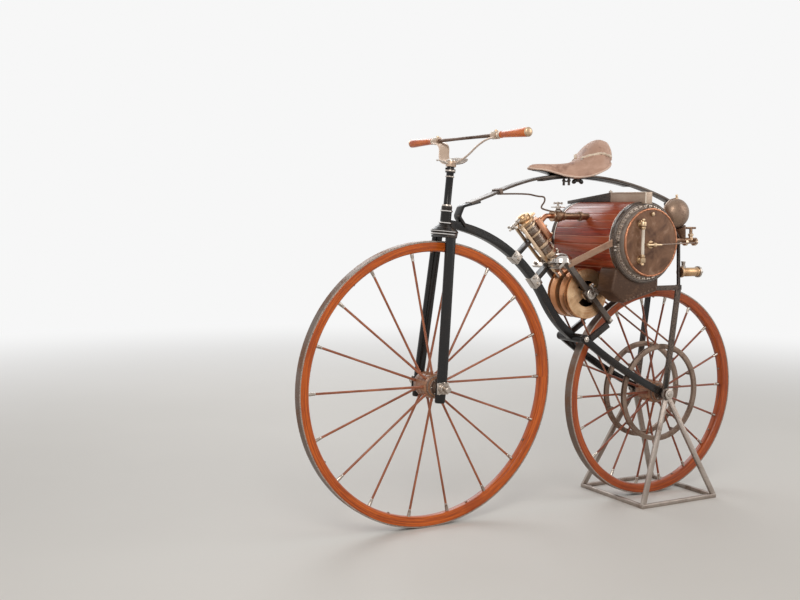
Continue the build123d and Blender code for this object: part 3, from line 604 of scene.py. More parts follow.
def twin_of(node):
    """An own copy of a frame piece, its loose triangles merged into clean faces."""
    twin = frame["nodes"][node].copy()
    twin.data = twin.data.copy()
    twin.parent = None
    bpy.context.scene.collection.objects.link(twin)
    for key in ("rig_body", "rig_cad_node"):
        del twin[key]
    twin.hide_set(False)
    twin.hide_viewport = twin.hide_render = False
    edit(twin)
    bpy.ops.mesh.remove_doubles(threshold=weld)
    bpy.ops.mesh.dissolve_limited(angle_limit=radians(1.0))
    done()
    return twin


def eased(node, material, width=1.2, segments=2, angle=32):
    """A frame piece with its sharp edges broken, which stands for it."""
    twin = bevelled(twin_of(node), width * mm, segments, angle)
    body = frame["nodes"][node]["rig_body"]
    return finish_piece(twin, node + "_eased", body, material, (node,))


print("shape helpers ready")

# %% [markdown]
# ## Floor and light
#
# The floor is plain and pale. Far out it fades into the same white as the world, so that no horizon
# cuts the picture. Three large soft lamps stand where a studio would put them, and the world fills the
# shadows. What the camera, a reflection or a pane of glass sees of the world is white.

# %% Floor, world and lamps
floor_half = 12.0
fade_from, fade_to = 2.0, 6.5
white = 0.93


def pale_floor():
    f = Finish("pale_floor")
    cloud = f.noise(f.spread((1, 1, 1)), 1.3, 3)
    f.colour(f.mix(cloud, (0.66, 0.64, 0.61), (0.70, 0.68, 0.65)))
    f.shader.inputs["Roughness"].default_value = 0.62
    nodes, links = f.tree.nodes, f.tree.links
    far = nodes.new("ShaderNodeEmission")
    far.inputs["Color"].default_value = (white, white, white, 1)
    split = nodes.new("ShaderNodeVectorMath")
    split.operation = "LENGTH"
    f.put(split.inputs[0], f.coords)
    path = nodes.new("ShaderNodeLightPath")
    seen = f.math("MAXIMUM", path.outputs["Is Camera Ray"], path.outputs["Is Glossy Ray"])
    fade = f.math("MULTIPLY", f.mask(split.outputs["Value"], fade_from, fade_to), seen)
    blend = nodes.new("ShaderNodeMixShader")
    f.put(blend.inputs[0], fade)
    links.new(f.shader.outputs[0], blend.inputs[1])
    links.new(far.outputs[0], blend.inputs[2])
    links.new(blend.outputs[0], nodes["Material Output"].inputs["Surface"])
    return f.material


clear()
bpy.ops.mesh.primitive_plane_add(size=2 * floor_half)
floor = bpy.context.object
floor.name = "floor"
floor.data.materials.append(pale_floor())

world = bpy.data.worlds.new("studio")
bpy.context.scene.world = world
world.use_nodes = True
tree = world.node_tree
fill = tree.nodes["Background"]
fill.inputs["Color"].default_value = (1.0, 0.985, 0.965, 1)
fill.inputs["Strength"].default_value = 0.42
seen_white = tree.nodes.new("ShaderNodeBackground")
seen_white.inputs["Color"].default_value = (white, white, white, 1)
rays = tree.nodes.new("ShaderNodeLightPath")
seen = rays.outputs["Is Camera Ray"]
for kind in ("Is Transmission Ray", "Is Glossy Ray"):
    either = tree.nodes.new("ShaderNodeMath")
    either.operation = "MAXIMUM"
    tree.links.new(seen, either.inputs[0])
    tree.links.new(rays.outputs[kind], either.inputs[1])
    seen = either.outputs[0]
choose = tree.nodes.new("ShaderNodeMixShader")
tree.links.new(seen, choose.inputs[0])
tree.links.new(fill.outputs[0], choose.inputs[1])
tree.links.new(seen_white.outputs[0], choose.inputs[2])
tree.links.new(choose.outputs[0], tree.nodes["World Output"].inputs["Surface"])

lit_point = Vector((0, 0, 0.7))
lamps = [
    # name, place, size across, power in watts, colour
    ("key", (2.6, 3.4, 3.6), 2.2, 92, (1.0, 0.95, 0.88)),
    ("side", (-3.4, 2.6, 2.6), 2.6, 46, (1.0, 0.97, 0.94)),
    ("back", (-0.6, -3.6, 3.2), 2.6, 56, (0.96, 0.98, 1.0)),
]
for name, place, across, power, colour in lamps:
    clear()
    aim = Vector(place) - lit_point
    bpy.ops.object.light_add(type="AREA", location=place, rotation=aim.to_track_quat("Z", "Y").to_euler())
    lamp = bpy.context.object
    lamp.name = name
    lamp.data.size = across
    lamp.data.energy = power
    lamp.data.color = colour
print("lit by", len(lamps), "lamps")

# %% [markdown]
# ## Small parts that repeat
#
# Bolts, rivets, rods and pipes come again and again on a machine. A hex nut is a six-sided cylinder
# whose corners are turned off, with the stud's rounded end standing in it. A rivet is a low dome. A
# pipe is a smooth curve with a round section, made into a mesh once its route is set. Flanges are held
# by bolts on a circle, so one helper works out their places.

# %% Helpers for bolts, rods, blocks and pipes


def rod(p, q, r, end_r=None, edge=0.8, steps=20):
    """Turned bar from p to q in metres, radii in mm, with its ends chamfered."""
    p, q = Vector(p), Vector(q)
    end_r = r if end_r is None else end_r
    length = (q - p).length / mm
    edge = min(edge, r * 0.5, end_r * 0.5, length / 3)
    return turned([(r - edge, 0), (r, edge), (end_r, length - edge), (end_r - edge, length)], p, q - p, steps)


def block(x, y, z, place, axis=None, edge=1.0):
    """Sawn block, sizes in mm, its edges broken; its z side turns to the axis."""
    clear()
    bpy.ops.mesh.primitive_cube_add(size=mm)
    piece = bpy.context.object
    piece.scale = (x, y, z)
    bpy.ops.object.transform_apply(location=False, rotation=False, scale=True)
    edit(piece)
    bpy.ops.mesh.bevel(offset=edge * mm, segments=2, affect="EDGES")
    done()
    return set_down(piece, place, axis)


def pebble(x, y, z, segments, rings):
    """Ball drawn out to three half widths in mm."""
    clear()
    bpy.ops.mesh.primitive_uv_sphere_add(segments=segments, ring_count=rings, radius=mm)
    piece = bpy.context.object
    piece.scale = (x, y, z)
    bpy.ops.object.transform_apply(scale=True)
    return piece


def nut(r=7, h=6, stud=0.5):
    """Hex nut with its stud's end, sizes in mm; stud is its radius as a share of the nut's."""
    clear()
    bpy.ops.mesh.primitive_cylinder_add(vertices=6, radius=r * mm, depth=h * mm, location=(0, 0, h * mm / 2))
    body = bpy.context.object
    bpy.ops.object.transform_apply(location=True)
    bevelled(body, r * 0.12 * mm, 2)
    end = turned([(r * stud, h * 0.6), (r * stud, h * 1.25), (r * stud * 0.7, h * 1.5), (0, h * 1.55)],
                 steps=12)
    return joined([body, end])


def rivet(r=4, h=3):
    """Low round head, sizes in mm."""
    return turned([(r, 0), (r * 0.9, h * 0.5), (r * 0.55, h * 0.9), (0, h)], steps=12)


def spots(piece, places):
    """Copies of a small part at (place, axis) pairs, joined."""
    return copies(piece, [Matrix.Translation(p) @ turn_to(axis) for p, axis in places])


def clock(angle):
    """Direction in the plane of the wheels, turned from ahead towards up."""
    return X * cos(angle) + Z * sin(angle)


def bolt_circle(centre, axis, first, second, r, n, start=0.0):
    """(place, axis) pairs of n bolts on a circle of r mm, in the plane of two directions."""
    angles = [start + k * 2 * pi / n for k in range(n)]
    return [(centre + (first * cos(a) + second * sin(a)) * r * mm, axis) for a in angles]


def pipe(points, radius, sides=4):
    """Round pipe along a smooth curve through its route's corners; points in metres, radius in mm."""
    clear()
    bpy.ops.curve.primitive_nurbs_path_add()
    path = bpy.context.object
    path.data.splines.clear()
    spline = path.data.splines.new("NURBS")
    spline.points.add(len(points) - 1)
    for point, place in zip(spline.points, points):
        point.co = (*place, 1)
    spline.order_u = 3
    spline.use_endpoint_u = True
    spline.resolution_u = 8
    path.data.bevel_depth = radius * mm
    path.data.bevel_resolution = sides
    path.data.use_fill_caps = True
    bpy.ops.object.convert(target="MESH")
    return set_down(bpy.context.object)


print("small parts ready")

# %% [markdown]
# ## Tyres and rims
#
# A wheelwright's wheel has an iron hoop shrunk on a rim of bent ash. Both are rings, grown from one
# circle along a closed profile, because a turned ring keeps an exact round edge at any size.

# %% Tyres and rims
tyre_half = 17.5
tyre_flat = 12.0
tyre_t = 5.0
rim_t = 31.0
rim_gap = 0.2
wheel_steps = 200
axles = {"front": (front_axle, front_r), "rear": (rear_axle, rear_r)}

for name, (axle, radius) in axles.items():
    outer = radius / mm
    inner = outer - tyre_t
    half = [(inner, tyre_half), (outer - 1.2, tyre_half), (outer - 0.3, tyre_half - 1), (outer, tyre_flat)]
    hoop = turned_ring(both_sides(half), axle, Y, wheel_steps)
    finish_piece(hoop, f"{name}_hoop", f"{name}_wheel", tyre_iron, (f"{name}_tyre",), 25)
    out = inner - rim_gap
    low = out - rim_t
    half = [(out, 16.5), (out - 1.5, 17.5), (low + 12, 17.5), (low + 5, 16.2), (low + 1.6, 12.6), (low, 7.5)]
    rim = turned_ring(both_sides(half), axle, Y, wheel_steps)
    finish_piece(rim, f"{name}_felloes", f"{name}_wheel", rim_wood[name], (f"{name}_rim",), 30)
print("tyres and rims turned")

# %% [markdown]
# ## Spokes
#
# The spokes are slim turned bars with metal ferrules where they enter the rim. One is turned and then
# copied round the hub, each copy leaning to its own side of the hub as on the real wheel. Between the
# spokes, bolts hold the hoop to the rim.

# %% Spokes, ferrules and tyre bolts
spoke_n = 18
spoke_r = 4.3
spoke_lean = 28.0
rim_lean = 0.1
hub_r = 42.0
spoke_deep = 12.0
spoke_in = 6.0
ferrule_len = 24.0
ferrule_r = 6.2

for name, (axle, radius) in axles.items():
    rim_in = radius / mm - tyre_t - rim_gap - rim_t
    seats = []
    for k in range(spoke_n):
        out = clock(radians(90 + (k + 0.5) * 360 / spoke_n))
        lean = (spoke_lean if k % 2 else -spoke_lean) * mm
        foot = axle + out * (hub_r - spoke_deep) * mm + Y * lean
        tip = axle + out * (rim_in + spoke_in) * mm + Y * lean * rim_lean
        seats.append(Matrix.Translation(foot) @ turn_to(tip - foot))
    length = (tip - foot).length / mm
    rim_at = length - spoke_in
    ferrule = rim_at - ferrule_len
    spoke = turned([(spoke_r + 0.4, 0), (spoke_r + 0.4, 16), (spoke_r + 1.2, 17), (spoke_r + 1.2, 20),
                    (spoke_r, 22), (spoke_r - 0.5, length * 0.5), (spoke_r - 0.2, ferrule + 4)], steps=14)
    finish_piece(copies(spoke, seats), f"{name}_spoke_set", f"{name}_wheel", spoke_wood[name],
                 (f"{name}_spokes",))
    cap = turned([(spoke_r, ferrule - 1), (spoke_r + 0.8, ferrule), (spoke_r + 0.9, ferrule + 3),
                  (spoke_r + 0.4, ferrule + 4), (spoke_r + 1.4, ferrule + 12), (ferrule_r, rim_at - 3),
                  (ferrule_r, rim_at + 2), (4, rim_at + 3)], steps=14)
    finish_piece(copies(cap, seats), f"{name}_ferrules", f"{name}_wheel", bright_steel)
    between = [clock(radians(90 + (k + 1) * 720 / spoke_n)) for k in range(spoke_n // 2)]
    studs = [(axle + out * rim_in * mm, -out) for out in between]
    finish_piece(spots(nut(4.6, 3.0), studs), f"{name}_tyre_bolts", f"{name}_wheel", brown_iron)
print(2 * spoke_n, "spokes with ferrules")

# %% [markdown]
# ## Hubs
#
# A wooden hub would split where the spokes enter it, so the smith binds each end with an iron band and
# a bolted flange. The barrel, the bands and the flanges are three profiles on one axle.

# %% Hubs
hub_half = 50.0
hub_bore = 14.0
axle_r = 10.2
hub_profile = [(hub_bore, hub_half), (31, hub_half), (33, hub_half - 3), (34, 38), (37, 36), (41, 33),
               (hub_r, 30), (hub_r, 16), (40.6, 14), (40.6, 11), (hub_r, 9)]
hub_band = [(33, 46), (36, 46), (36.6, 45), (36.6, 39.5), (36, 38.5), (33, 38.5)]
hub_flange = lifted([(axle_r, -0.1), (29, -0.1), (29, 2.5), (27, 3.6), (19, 3.6), (18, 5), (axle_r, 5)],
                    hub_half)

for name, (axle, _) in axles.items():
    barrel = turned_ring(both_sides(hub_profile), axle, Y, 56)
    finish_piece(barrel, f"{name}_hub_barrel", f"{name}_wheel", hub_wood, (f"{name}_hub",), 30)
    bands, bolts = [], []
    for s in SIDES.values():
        bands += [turned_ring(at_side(s, profile), axle, Y, 56) for profile in (hub_band, hub_flange)]
        bolts += bolt_circle(axle + Y * s * (hub_half + 3) * mm, Y * s, X, Z, 24, 6)
    finish_piece(joined(bands), f"{name}_hub_bands", f"{name}_wheel", brown_iron)
    finish_piece(spots(nut(3.4, 2.2), bolts), f"{name}_hub_bolts", f"{name}_wheel",
                 bright_steel)
print("hubs bound")

# %% [markdown]
# ## The front axle and the drive rings
#
# The front axle turns with its wheel and once carried the pedal cranks, so each end has a boss with a
# flat for a cotter and a bare stub. The rear wheel has two flat iron rings clipped to its spokes, in
# whose grooves the belts run. Their shapes are right in the frame and only need their edges broken.

# %% Axle ends and drive rings
boss_in, boss_out, axle_end = 86.0, 104.0, 123.0
boss_r = 17.0
axle_half = [(axle_r - 0.2, 0), (axle_r - 0.2, boss_in), (boss_r - 1, boss_in), (boss_r, boss_in + 1),
             (boss_r, boss_in + 5), (boss_r - 1.4, boss_in + 6), (boss_r - 1.4, boss_out - 6),
             (boss_r, boss_out - 5), (boss_r, boss_out - 1), (boss_r - 1, boss_out),
             (axle_r - 0.2, boss_out + 0.5), (axle_r - 0.2, axle_end - 1.5), (8, axle_end)]
ends = [turned(axle_half, front_axle, Y * s, 40) for s in SIDES.values()]
finish_piece(joined(ends), "front_axle_turned", "front_wheel", bright_steel, ("front_axle",))
boss_y = (boss_in + boss_out) / 2
cotters = [(front_axle + Y * s * boss_y * mm + Z * (boss_r - 0.4) * mm, Z) for s in SIDES.values()]
finish_piece(spots(nut(4.5, 4), cotters), "crank_cotters", "front_wheel", bright_steel)
eased("drive_rings", grey_ring, 0.9)
print("axle ends and rings done")

# %% [markdown]
# ## Fork legs
#
# The smith forged each fork leg from one bar and rounded it with the hammer. So an oval is extruded
# along the leg's route, straight at the axle and then leaning in, and the axle's hole is bored last. A
# bolted plate closes the eye on the outside.

# %% Fork legs and eyes
leg_w, leg_t = 36.0, 22.0
leg_below, leg_straight = 50.0, 40.0
leg_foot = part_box("fork_leg_left")[1].y / mm - leg_t / 2
leg_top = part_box("fork_leg_left")[0].y / mm + leg_t / 2
crown = front_r / mm + 12
squareness = 0.75
drill_end, bore_gap = 130.0, 0.4
eye_y = 85.6


def forged_leg(s):
    """Oval bar grown from below the axle up to the crown, on one side of the wheel."""
    clear()
    bpy.ops.mesh.primitive_circle_add(vertices=48, radius=1, fill_type="NGON")
    leg = bpy.context.object
    for v in leg.data.vertices:
        v.co.x, v.co.y = ((1 if c > 0 else -1) * abs(c) ** squareness * width / 2 * mm
                          for c, width in ((v.co.x, leg_w), (v.co.y, leg_t)))
    edit(leg)
    y0, t0, share0 = 0.0, 0.0, 1.0
    route = [(-leg_below, leg_foot, 0.84), (-leg_below + 3, leg_foot, 0.96), (-leg_below + 7, leg_foot, 1.0),
             (leg_straight, leg_foot, 1.0), (crown, leg_top, 1.0)]
    for k, (t, y, share) in enumerate(route):
        move = (0, s * (y - y0) * mm, (t - t0) * mm)
        if k == 0:
            bpy.ops.transform.translate(value=move)
        else:
            bpy.ops.mesh.extrude_region_move(TRANSFORM_OT_translate={"value": move})
        grow = share / share0
        bpy.ops.transform.resize(value=(grow, grow, 1), center_override=(0, s * y * mm, t * mm))
        y0, t0, share0 = y, t, share
    done()
    face_out(leg)
    upright = Matrix((steer_ahead, Y, steer_up)).transposed().to_4x4()
    leg.data.transform(Matrix.Translation(front_axle) @ upright)
    drill = rod(front_axle, front_axle + Y * s * drill_end * mm, axle_r + bore_gap, steps=40)
    modify(leg, "BOOLEAN", object=drill, operation="DIFFERENCE", solver="EXACT")
    bpy.data.objects.remove(drill)
    return leg


for name, s in SIDES.items():
    finish_piece(forged_leg(s), f"forged_leg_{name}", "fork", forged_black,
                 (f"fork_leg_{name}",), 40)
    eye_foot = front_axle + Y * s * (eye_y - 3) * mm
    cap = [block(38, 44, 3.6, front_axle + Y * s * eye_y * mm, Y * s, 1.6),
           turned([(20, 2), (20, 4), (19, 5.2), (17.4, 5.4)], eye_foot, Y * s, 40)]
    finish_piece(joined(cap), f"fork_eye_{name}", "fork", bright_steel)
    eye = front_axle + Y * s * (eye_y + 1.6) * mm
    bolts = [(eye + (X * u + Z * w) * 15.5 * mm, Y * s) for u in (1, -1) for w in (1.1, -1.1)]
    finish_piece(spots(nut(3.6, 2.6), bolts), f"fork_eye_bolts_{name}", "fork", bright_steel)
print("fork legs forged")

# %% [markdown]
# ## Crown and head
#
# Between the fork's crown and the backbone's head lie turned discs, like plates on a stack. They are
# lathe work on the steering axis, so one helper turns them all and counts each from its own foot.

# %% Crown, discs and beads
head = crown + 16.5


def on_column(t, n=0.0, y=0.0):
    """Place along the steering column: t mm above the front axle, n ahead, y to the left."""
    return front_axle + (steer_up * t + steer_ahead * n + Y * y) * mm


def stacked(profile, low, steps=64):
    """Turned round the steering axis, with heights counted from low, in mm above the front axle."""
    return turned(lifted(profile, low), front_axle, steer_up, steps)


eased("fork_crown", black_iron, 2.0, 3)
disc = stacked([(40, 8), (44.4, 9), (45, 11), (45, 13), (44, 14.5), (36, 15.2), (30, 16)], crown)
finish_piece(disc, "crown_disc", "fork", black_iron)
# The thin polished ring on the disc's edge is partly bright steel and partly a painted highlight along the
# rim.
disc_rim = stacked([(44.6, 9.5), (45.4, 10.2), (45.4, 12.8), (44.6, 13.6)], crown)
finish_piece(disc_rim, "crown_disc_rim_highlight", "fork", polished_steel)
eased("backbone", black_iron, 6.5, 5)
beads = stacked([(45.4, 0.4), (46.2, 2), (46.2, 4.5), (45.2, 6.6), (38, 8.4), (34, 11), (32.5, 13),
                 (34, 14.5), (34, 17), (30, 19), (24, 23), (20.5, 29), (21.5, 31), (21.5, 34), (20, 36),
                 (18.4, 37), (18.2, 68), (20.4, 69.5), (20.4, 73), (19, 75.6)], head)
finish_piece(beads, "head_beads", "frame", black_iron)
# The first ring, on the upper disc's edge, is partly polished steel and partly a painted highlight along that
# rim.
rings = [stacked([(45, 2.4), (46.6, 3), (46.6, 4.8), (45, 5.6)], head),
         stacked([(20.4, 30), (22.4, 31), (22.4, 34), (20.4, 35)], head, 48),
         stacked([(18.6, 69), (21, 70), (21, 73), (18.6, 74)], head, 48)]
finish_piece(joined(rings), "head_rings", "frame", polished_steel)
print("crown and head done")

# %% [markdown]
# ## Column and top plate
#
# The column is a plain bar, so it keeps its shape and gets turned collars. On top lies a bright
# leaf-shaped plate, a round one drawn in towards both ends. The frame's thick lever rod is cut away,
# because the real one tapers, and a turned lever takes its place.

# %% Column, top plate and lever
column_top = crown + 241
lever_from = 19.0
column = eased("steering_column", black_iron, 1.0, 2)
kept(column, lambda co: (co - front_axle).dot(steer_ahead) <= lever_from * mm)
collars = [stacked([(12.4, 0), (r - 1, 1), (r, 4), (r, h - 4), (r - 1, h - 1), (12.4, h)], t, 40)
           for t, h, r in ((column_top - 25, 10, 17.4), (column_top - 42, 6, 15.4), (crown + 101, 9, 16.6))]
finish_piece(joined(collars), "column_collars", "fork", bright_steel)


def lozenge(long, wide, thick, drawn=0.55):
    """Leaf-shaped plate: a round one whose ends are drawn in and whose edge is rounded."""
    clear()
    bpy.ops.mesh.primitive_cylinder_add(vertices=40, radius=0.5 * mm, depth=mm)
    piece = bpy.context.object
    for v in piece.data.vertices:
        share = abs(v.co.x) / (0.5 * mm)
        v.co.y *= 1 - drawn * share ** 2
    piece.scale = (long, wide, thick)
    bpy.ops.object.transform_apply(location=False, rotation=False, scale=True)
    return bevelled(piece, thick * 0.3 * mm, 3)


plate_up = steer_up + steer_ahead * 0.25 + Y * 0.55
plate = set_down(lozenge(90, 40, 6), on_column(column_top + 15, -20), plate_up)
cap = turned([(15, 13), (14.4, 16), (10, 19), (0, 20)], on_column(column_top), steer_up, 32)
finish_piece(joined([plate, cap]), "top_lozenge", "fork", bright_steel)
lever = rod(on_column(column_top + 3, 12), on_column(column_top + 10, 52), 4.5, 1.6)
tip = turned([(1.6, 0), (3.2, 3), (3.2, 6), (0, 9)], on_column(column_top + 9, 50), steer_ahead, 16)
finish_piece(joined([lever, tip]), "top_lever", "fork", bright_steel)
print("column dressed")

# %% [markdown]
# ## Arms, bar and grips
#
# The bar is a turned steel shaft, held by a knuckle on each arm. Each grip swells towards its end like
# a file's handle, and a brass cap closes it, so both are lathe work along the bar.

# %% Arms, bar and grips
bar = middle("handlebar")
bar_half = size("handlebar").y / 2 / mm
knuckle_y = 180.0
grip_in = 212.0
span = bar_half - grip_in
grip_profile = [(7.5, 0), (10.5, 0.6), (11.2, 3), (10.4, 5), (9.6, 8), (10.4, 16), (11.6, span * 0.35),
                (13.2, span * 0.6), (14.6, span * 0.8), (14.9, span - 14), (14, span - 9), (12, span - 7)]
cap_profile = lifted([(13.4, -10), (14.8, -9), (14.9, -7), (13.6, -4.6), (10.6, -2), (6, -0.5), (0, 0)], span)
eased("handlebar_arms", arm_tan, 1.4, 3)
parts, knuckle_bolts = [], []
for s in SIDES.values():
    knuckle = bar + Y * s * knuckle_y * mm
    parts.append(block(24, 24, 26, knuckle, Y * s, 3.5))
    parts.append(turned([(7, 14), (11, 15), (11.5, 19), (8, 21), (8, 25), (10.5, 26), (10.5, 31)],
                        knuckle, Y * s, 32))
    knuckle_bolts.append((knuckle + steer_up * 12 * mm, steer_up))
finish_piece(joined(parts), "bar_knuckles", "fork", pale_edge)
finish_piece(spots(nut(5.5, 4), knuckle_bolts), "knuckle_bolts", "fork", brass)
shaft = turned(both_sides([(5.4, knuckle_y), (6, knuckle_y - 2), (6, 120), (5.2, 60)]), bar, Y, 32)
finish_piece(shaft, "bar_shaft", "fork", brown_iron, ("handlebar",))
grips, caps = [], []
for s in SIDES.values():
    grip_at = bar + Y * s * grip_in * mm
    grips.append(turned(grip_profile, grip_at, Y * s, 40))
    caps.append(turned(cap_profile, grip_at, Y * s, 40))
finish_piece(joined(grips), "turned_grips", "fork", grip_wood, ("grips",))
finish_piece(joined(caps), "grip_caps", "fork", pale_brass)
print("bar and grips done, half width", round(bar_half))

# %% [markdown]
# ## Rear frame and stand
#
# The rear fork, the struts and the stand are forged flat bars. A forged bar has no sharp corner left,
# so its edges get a wide round bevel. The bolts that hold them are separate pieces, as on the machine:
# a washer, a hex nut and the stud's end.

# %% Rear fork, struts, axle and stand
for name, s in SIDES.items():
    eased(f"rear_fork_{name}", black_iron, 4.0, 3)
    eased(f"strut_{name}", black_iron, 2.4, 3)
    eased(f"stand_legs_{name}", stand_steel, 2.0, 2)
eased("stand_base", stand_steel, 2.4, 3)
eased("rear_axle", brown_iron, 1.6, 3)

axle_side = size("rear_axle").y / 2
washer = [(axle_r, 0), (18, 0), (19, 1), (19, 2), (18, 2.6), (axle_r, 2.6)]
end = [(9.6, 0), (9.6, 3), (7, 5.2), (0, 5.6)]
washers = [turned_ring(washer, rear_axle + Y * s * (axle_side - 4 * mm), Y * s, 36) for s in SIDES.values()]
ends = [turned(end, rear_axle + Y * s * (axle_side - 3.4 * mm), Y * s, 24) for s in SIDES.values()]
finish_piece(joined(washers + ends), "axle_ends_turned", "frame", bright_steel)

base_low, base_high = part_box("stand_base")
base_edge = 7.5 * mm
corners = [(Vector((x, y, base_high.z)), Z) for x in (base_low.x + base_edge, base_high.x - base_edge)
           for y in (base_low.y + base_edge, base_high.y - base_edge)]
finish_piece(spots(rivet(4.5, 3.0), corners), "stand_rivets", "frame", bright_steel)

crown_in, crown_half = 16 * mm, 74 * mm
crown_bar = Vector((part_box("rear_fork_left")[1].x - crown_in, 0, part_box("rear_fork_left")[1].z - crown_in))
crown_nuts = [(crown_bar + Y * s * crown_half, Y * s) for s in SIDES.values()]
finish_piece(spots(nut(11, 7), crown_nuts), "crown_nuts", "frame", bright_steel)
print("rear frame done")

# %% [markdown]
# ## The spring
#
# A long flat leaf carries the seat. It hangs from a shackle on the backbone and is bolted to the struts
# behind the boiler. A shorter second leaf stiffens its middle. It is a stretch of the first, cut off
# with two planes and set below it. The frame's plain clips are taken away, because finer ones follow.

# %% Leaves and shackle
spring_low, spring_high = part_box("spring")
nose_reach, tail_reach = 199.0, 137.3
seat_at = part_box("saddle")[0].x * nose_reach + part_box("saddle")[1].x * tail_reach
seat_at /= nose_reach + tail_reach
second_ahead, second_behind = 150 * mm, 240 * mm
second_drop = 7.5 * mm
clips_reach = 75 * mm

eased("spring", rail_iron, 1.6, 3)
second = twin_of("spring")
cut(second, (seat_at + second_ahead, 0, 0), X)
cut(second, (seat_at - second_behind, 0, 0), -X)
edit(second)
bpy.ops.transform.resize(value=(1, 0.92, 0.999))
bpy.ops.transform.translate(value=(0, 0, -second_drop))
done()
bevelled(second, 1.4 * mm, 2)
finish_piece(second, "spring_second_leaf", "frame", black_iron)

shackle = eased("spring_fittings", black_iron, 2.6, 3)
kept(shackle, lambda co: abs(co.x - seat_at) > clips_reach)
print("spring from", round(spring_low.x, 3), "to", round(spring_high.x, 3), "seat bolt at", round(seat_at, 3))

# %% [markdown]
# ## Under the seat
#
# Two clips clamp the saddle to the leaf, each with a plate below it. The front one has two studs with a
# bridge between them, and the rear one is closed by a wing nut, so that no spanner is needed.

# %% Seat clips and wing nut
plate_z = spring_high.z - 13 * mm
clip_x, wing_x = seat_at + 36 * mm, seat_at - 14 * mm
stud_y, cheek_y = 14.5 * mm, 23.5 * mm
parts = [block(26, 50, 6, (clip_x, 0, plate_z), Z, 1.6), block(34, 50, 6, (wing_x, 0, plate_z), Z, 1.6),
         block(9, 34, 5, (clip_x, 0, plate_z - 13 * mm), Z, 1.2)]
for s in SIDES.values():
    parts.append(rod((clip_x, s * stud_y, plate_z - 27 * mm), (clip_x, s * stud_y, plate_z), 4.4))
    parts.append(block(28, 5, 20, (clip_x, s * cheek_y, plate_z + 10 * mm), Z, 1.2))
finish_piece(joined(parts), "seat_clips", "frame", black_iron)
under = [(Vector((clip_x, s * stud_y, plate_z - 7 * mm)), -Z) for s in SIDES.values()]
finish_piece(spots(nut(6.6, 6, 0.52), under), "seat_clip_nuts", "frame", black_iron)

wing_lean = 0.45
parts = [turned([(8, 0), (9, 1.5), (7.5, 8), (5, 12), (0, 12.5)], steps=20)]
for side in (1, -1):
    wing = pebble(11.5, 4, 8.5, 16, 8)
    lean = Matrix.Rotation(-side * wing_lean, 4, "Y")
    wing.data.transform(Matrix.Translation((side * 15 * mm, 0, 10 * mm)) @ lean)
    parts.append(wing)
wing_nut = set_down(joined(parts), (wing_x, 0, plate_z - 2 * mm), -Z)
finish_piece(wing_nut, "seat_wing_nut", "frame", black_iron)
print("seat clips done")

# %% [markdown]
# ## Saddle
#
# Leather was soaked, stretched over felt on an iron pan and left to dry, so the seat is one soft shape.
# It is grown like a ship's hull: a rounded section at the nose is extruded from station to station,
# widened and raised on the way, and a subdivision surface smooths it.

# %% Saddle stations
saddle_low, saddle_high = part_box("saddle")
saddle_len = saddle_high.x - saddle_low.x
leaf_z = saddle_low.z + 14 * mm
flat_share = 0.10
pan_share = 0.88
hull = [
    # share of the length from the nose, half width, lower and upper height above the leaf in mm
    (0.004, 7.0, 20.0, 26.0),
    (0.022, 15.0, 17.0, 31.0),
    (0.060, 22.5, 15.0, 34.5),
    (0.120, 27.0, 14.0, 36.0),
    (0.200, 29.0, 9.0, 36.5),
    (0.290, 31.0, 2.0, 37.0),
    (0.375, 35.0, -7.0, 38.5),
    (0.450, 42.0, -11.0, 41.0),
    (0.520, 52.0, -13.0, 44.0),
    (0.580, 63.0, -12.5, 52.0),
    (0.640, 75.0, -9.0, 60.0),
    (0.700, 83.0, -3.0, 84.0),
    (0.765, 87.0, 5.0, 111.0),
    (0.835, 82.0, 13.0, 128.0),
    (0.900, 69.0, 25.0, 132.0),
    (0.950, 52.0, 41.0, 128.0),
    (0.984, 36.0, 60.0, 114.0),
]


def hull_at(share):
    """Half width, height of the lower edge and height of the crown above it, in metres."""
    k = next(i for i, row in enumerate(hull[1:]) if row[0] >= share or i == len(hull) - 2)
    a, b = hull[k], hull[k + 1]
    t = (share - a[0]) / (b[0] - a[0])
    half, low, high = (a[i] + (b[i] - a[i]) * t for i in (1, 2, 3))
    return half * mm, leaf_z + (low + (high - low) * flat_share) * mm, (high - low) * (1 - flat_share) * mm


def on_hull(share, angle, out=0.0):
    """Place on the leather: angle 0 at the left lower edge, 90 on the crown, 180 at the right edge."""
    half, edge_z, rise = hull_at(share)
    a = radians(angle)
    return Vector((saddle_high.x - share * saddle_len, (half + out) * cos(a), edge_z + (rise + out) * sin(a)))


def saddle_shape(rows, drop=0.0, thick=None):
    """The hull from its stations. With a thickness it is only the pan under it, that much lower."""
    clear()
    bpy.ops.mesh.primitive_circle_add(vertices=28, radius=1, fill_type="NGON", rotation=(0, radians(90), 0))
    piece = bpy.context.object
    bpy.ops.object.transform_apply(rotation=True)
    edit(piece, "DESELECT")
    bpy.ops.mesh.select_mode(type="VERT")
    done()
    for v in piece.data.vertices:
        v.select = v.co.z < -0.01
    bpy.ops.object.mode_set(mode="EDIT")
    bpy.ops.transform.resize(value=(1, 1, flat_share / (1 - flat_share)), center_override=(0, 0, 0))
    bpy.ops.mesh.select_all(action="SELECT")
    wide, tall, x, z = 1.0, 1.0, 0.0, 0.0
    for k, (share, half, _, _) in enumerate(rows):
        wide1, z1, tall1 = hull_at(share)
        x1 = saddle_high.x - share * saddle_len
        if thick is not None:
            wide1, z1, tall1 = half * mm * pan_share, z1 - drop, thick
        if k == 0:
            bpy.ops.transform.translate(value=(x1, 0, z1))
        else:
            bpy.ops.mesh.extrude_region_move(TRANSFORM_OT_translate={"value": (x1 - x, 0, z1 - z)})
        bpy.ops.transform.resize(value=(1, wide1 / wide, tall1 / tall), center_override=(x1, 0, z1))
        wide, tall, x, z = wide1, tall1, x1, z1
    done()
    return face_out(piece)


print(len(hull), "stations on a saddle", round(saddle_len, 3), "long")

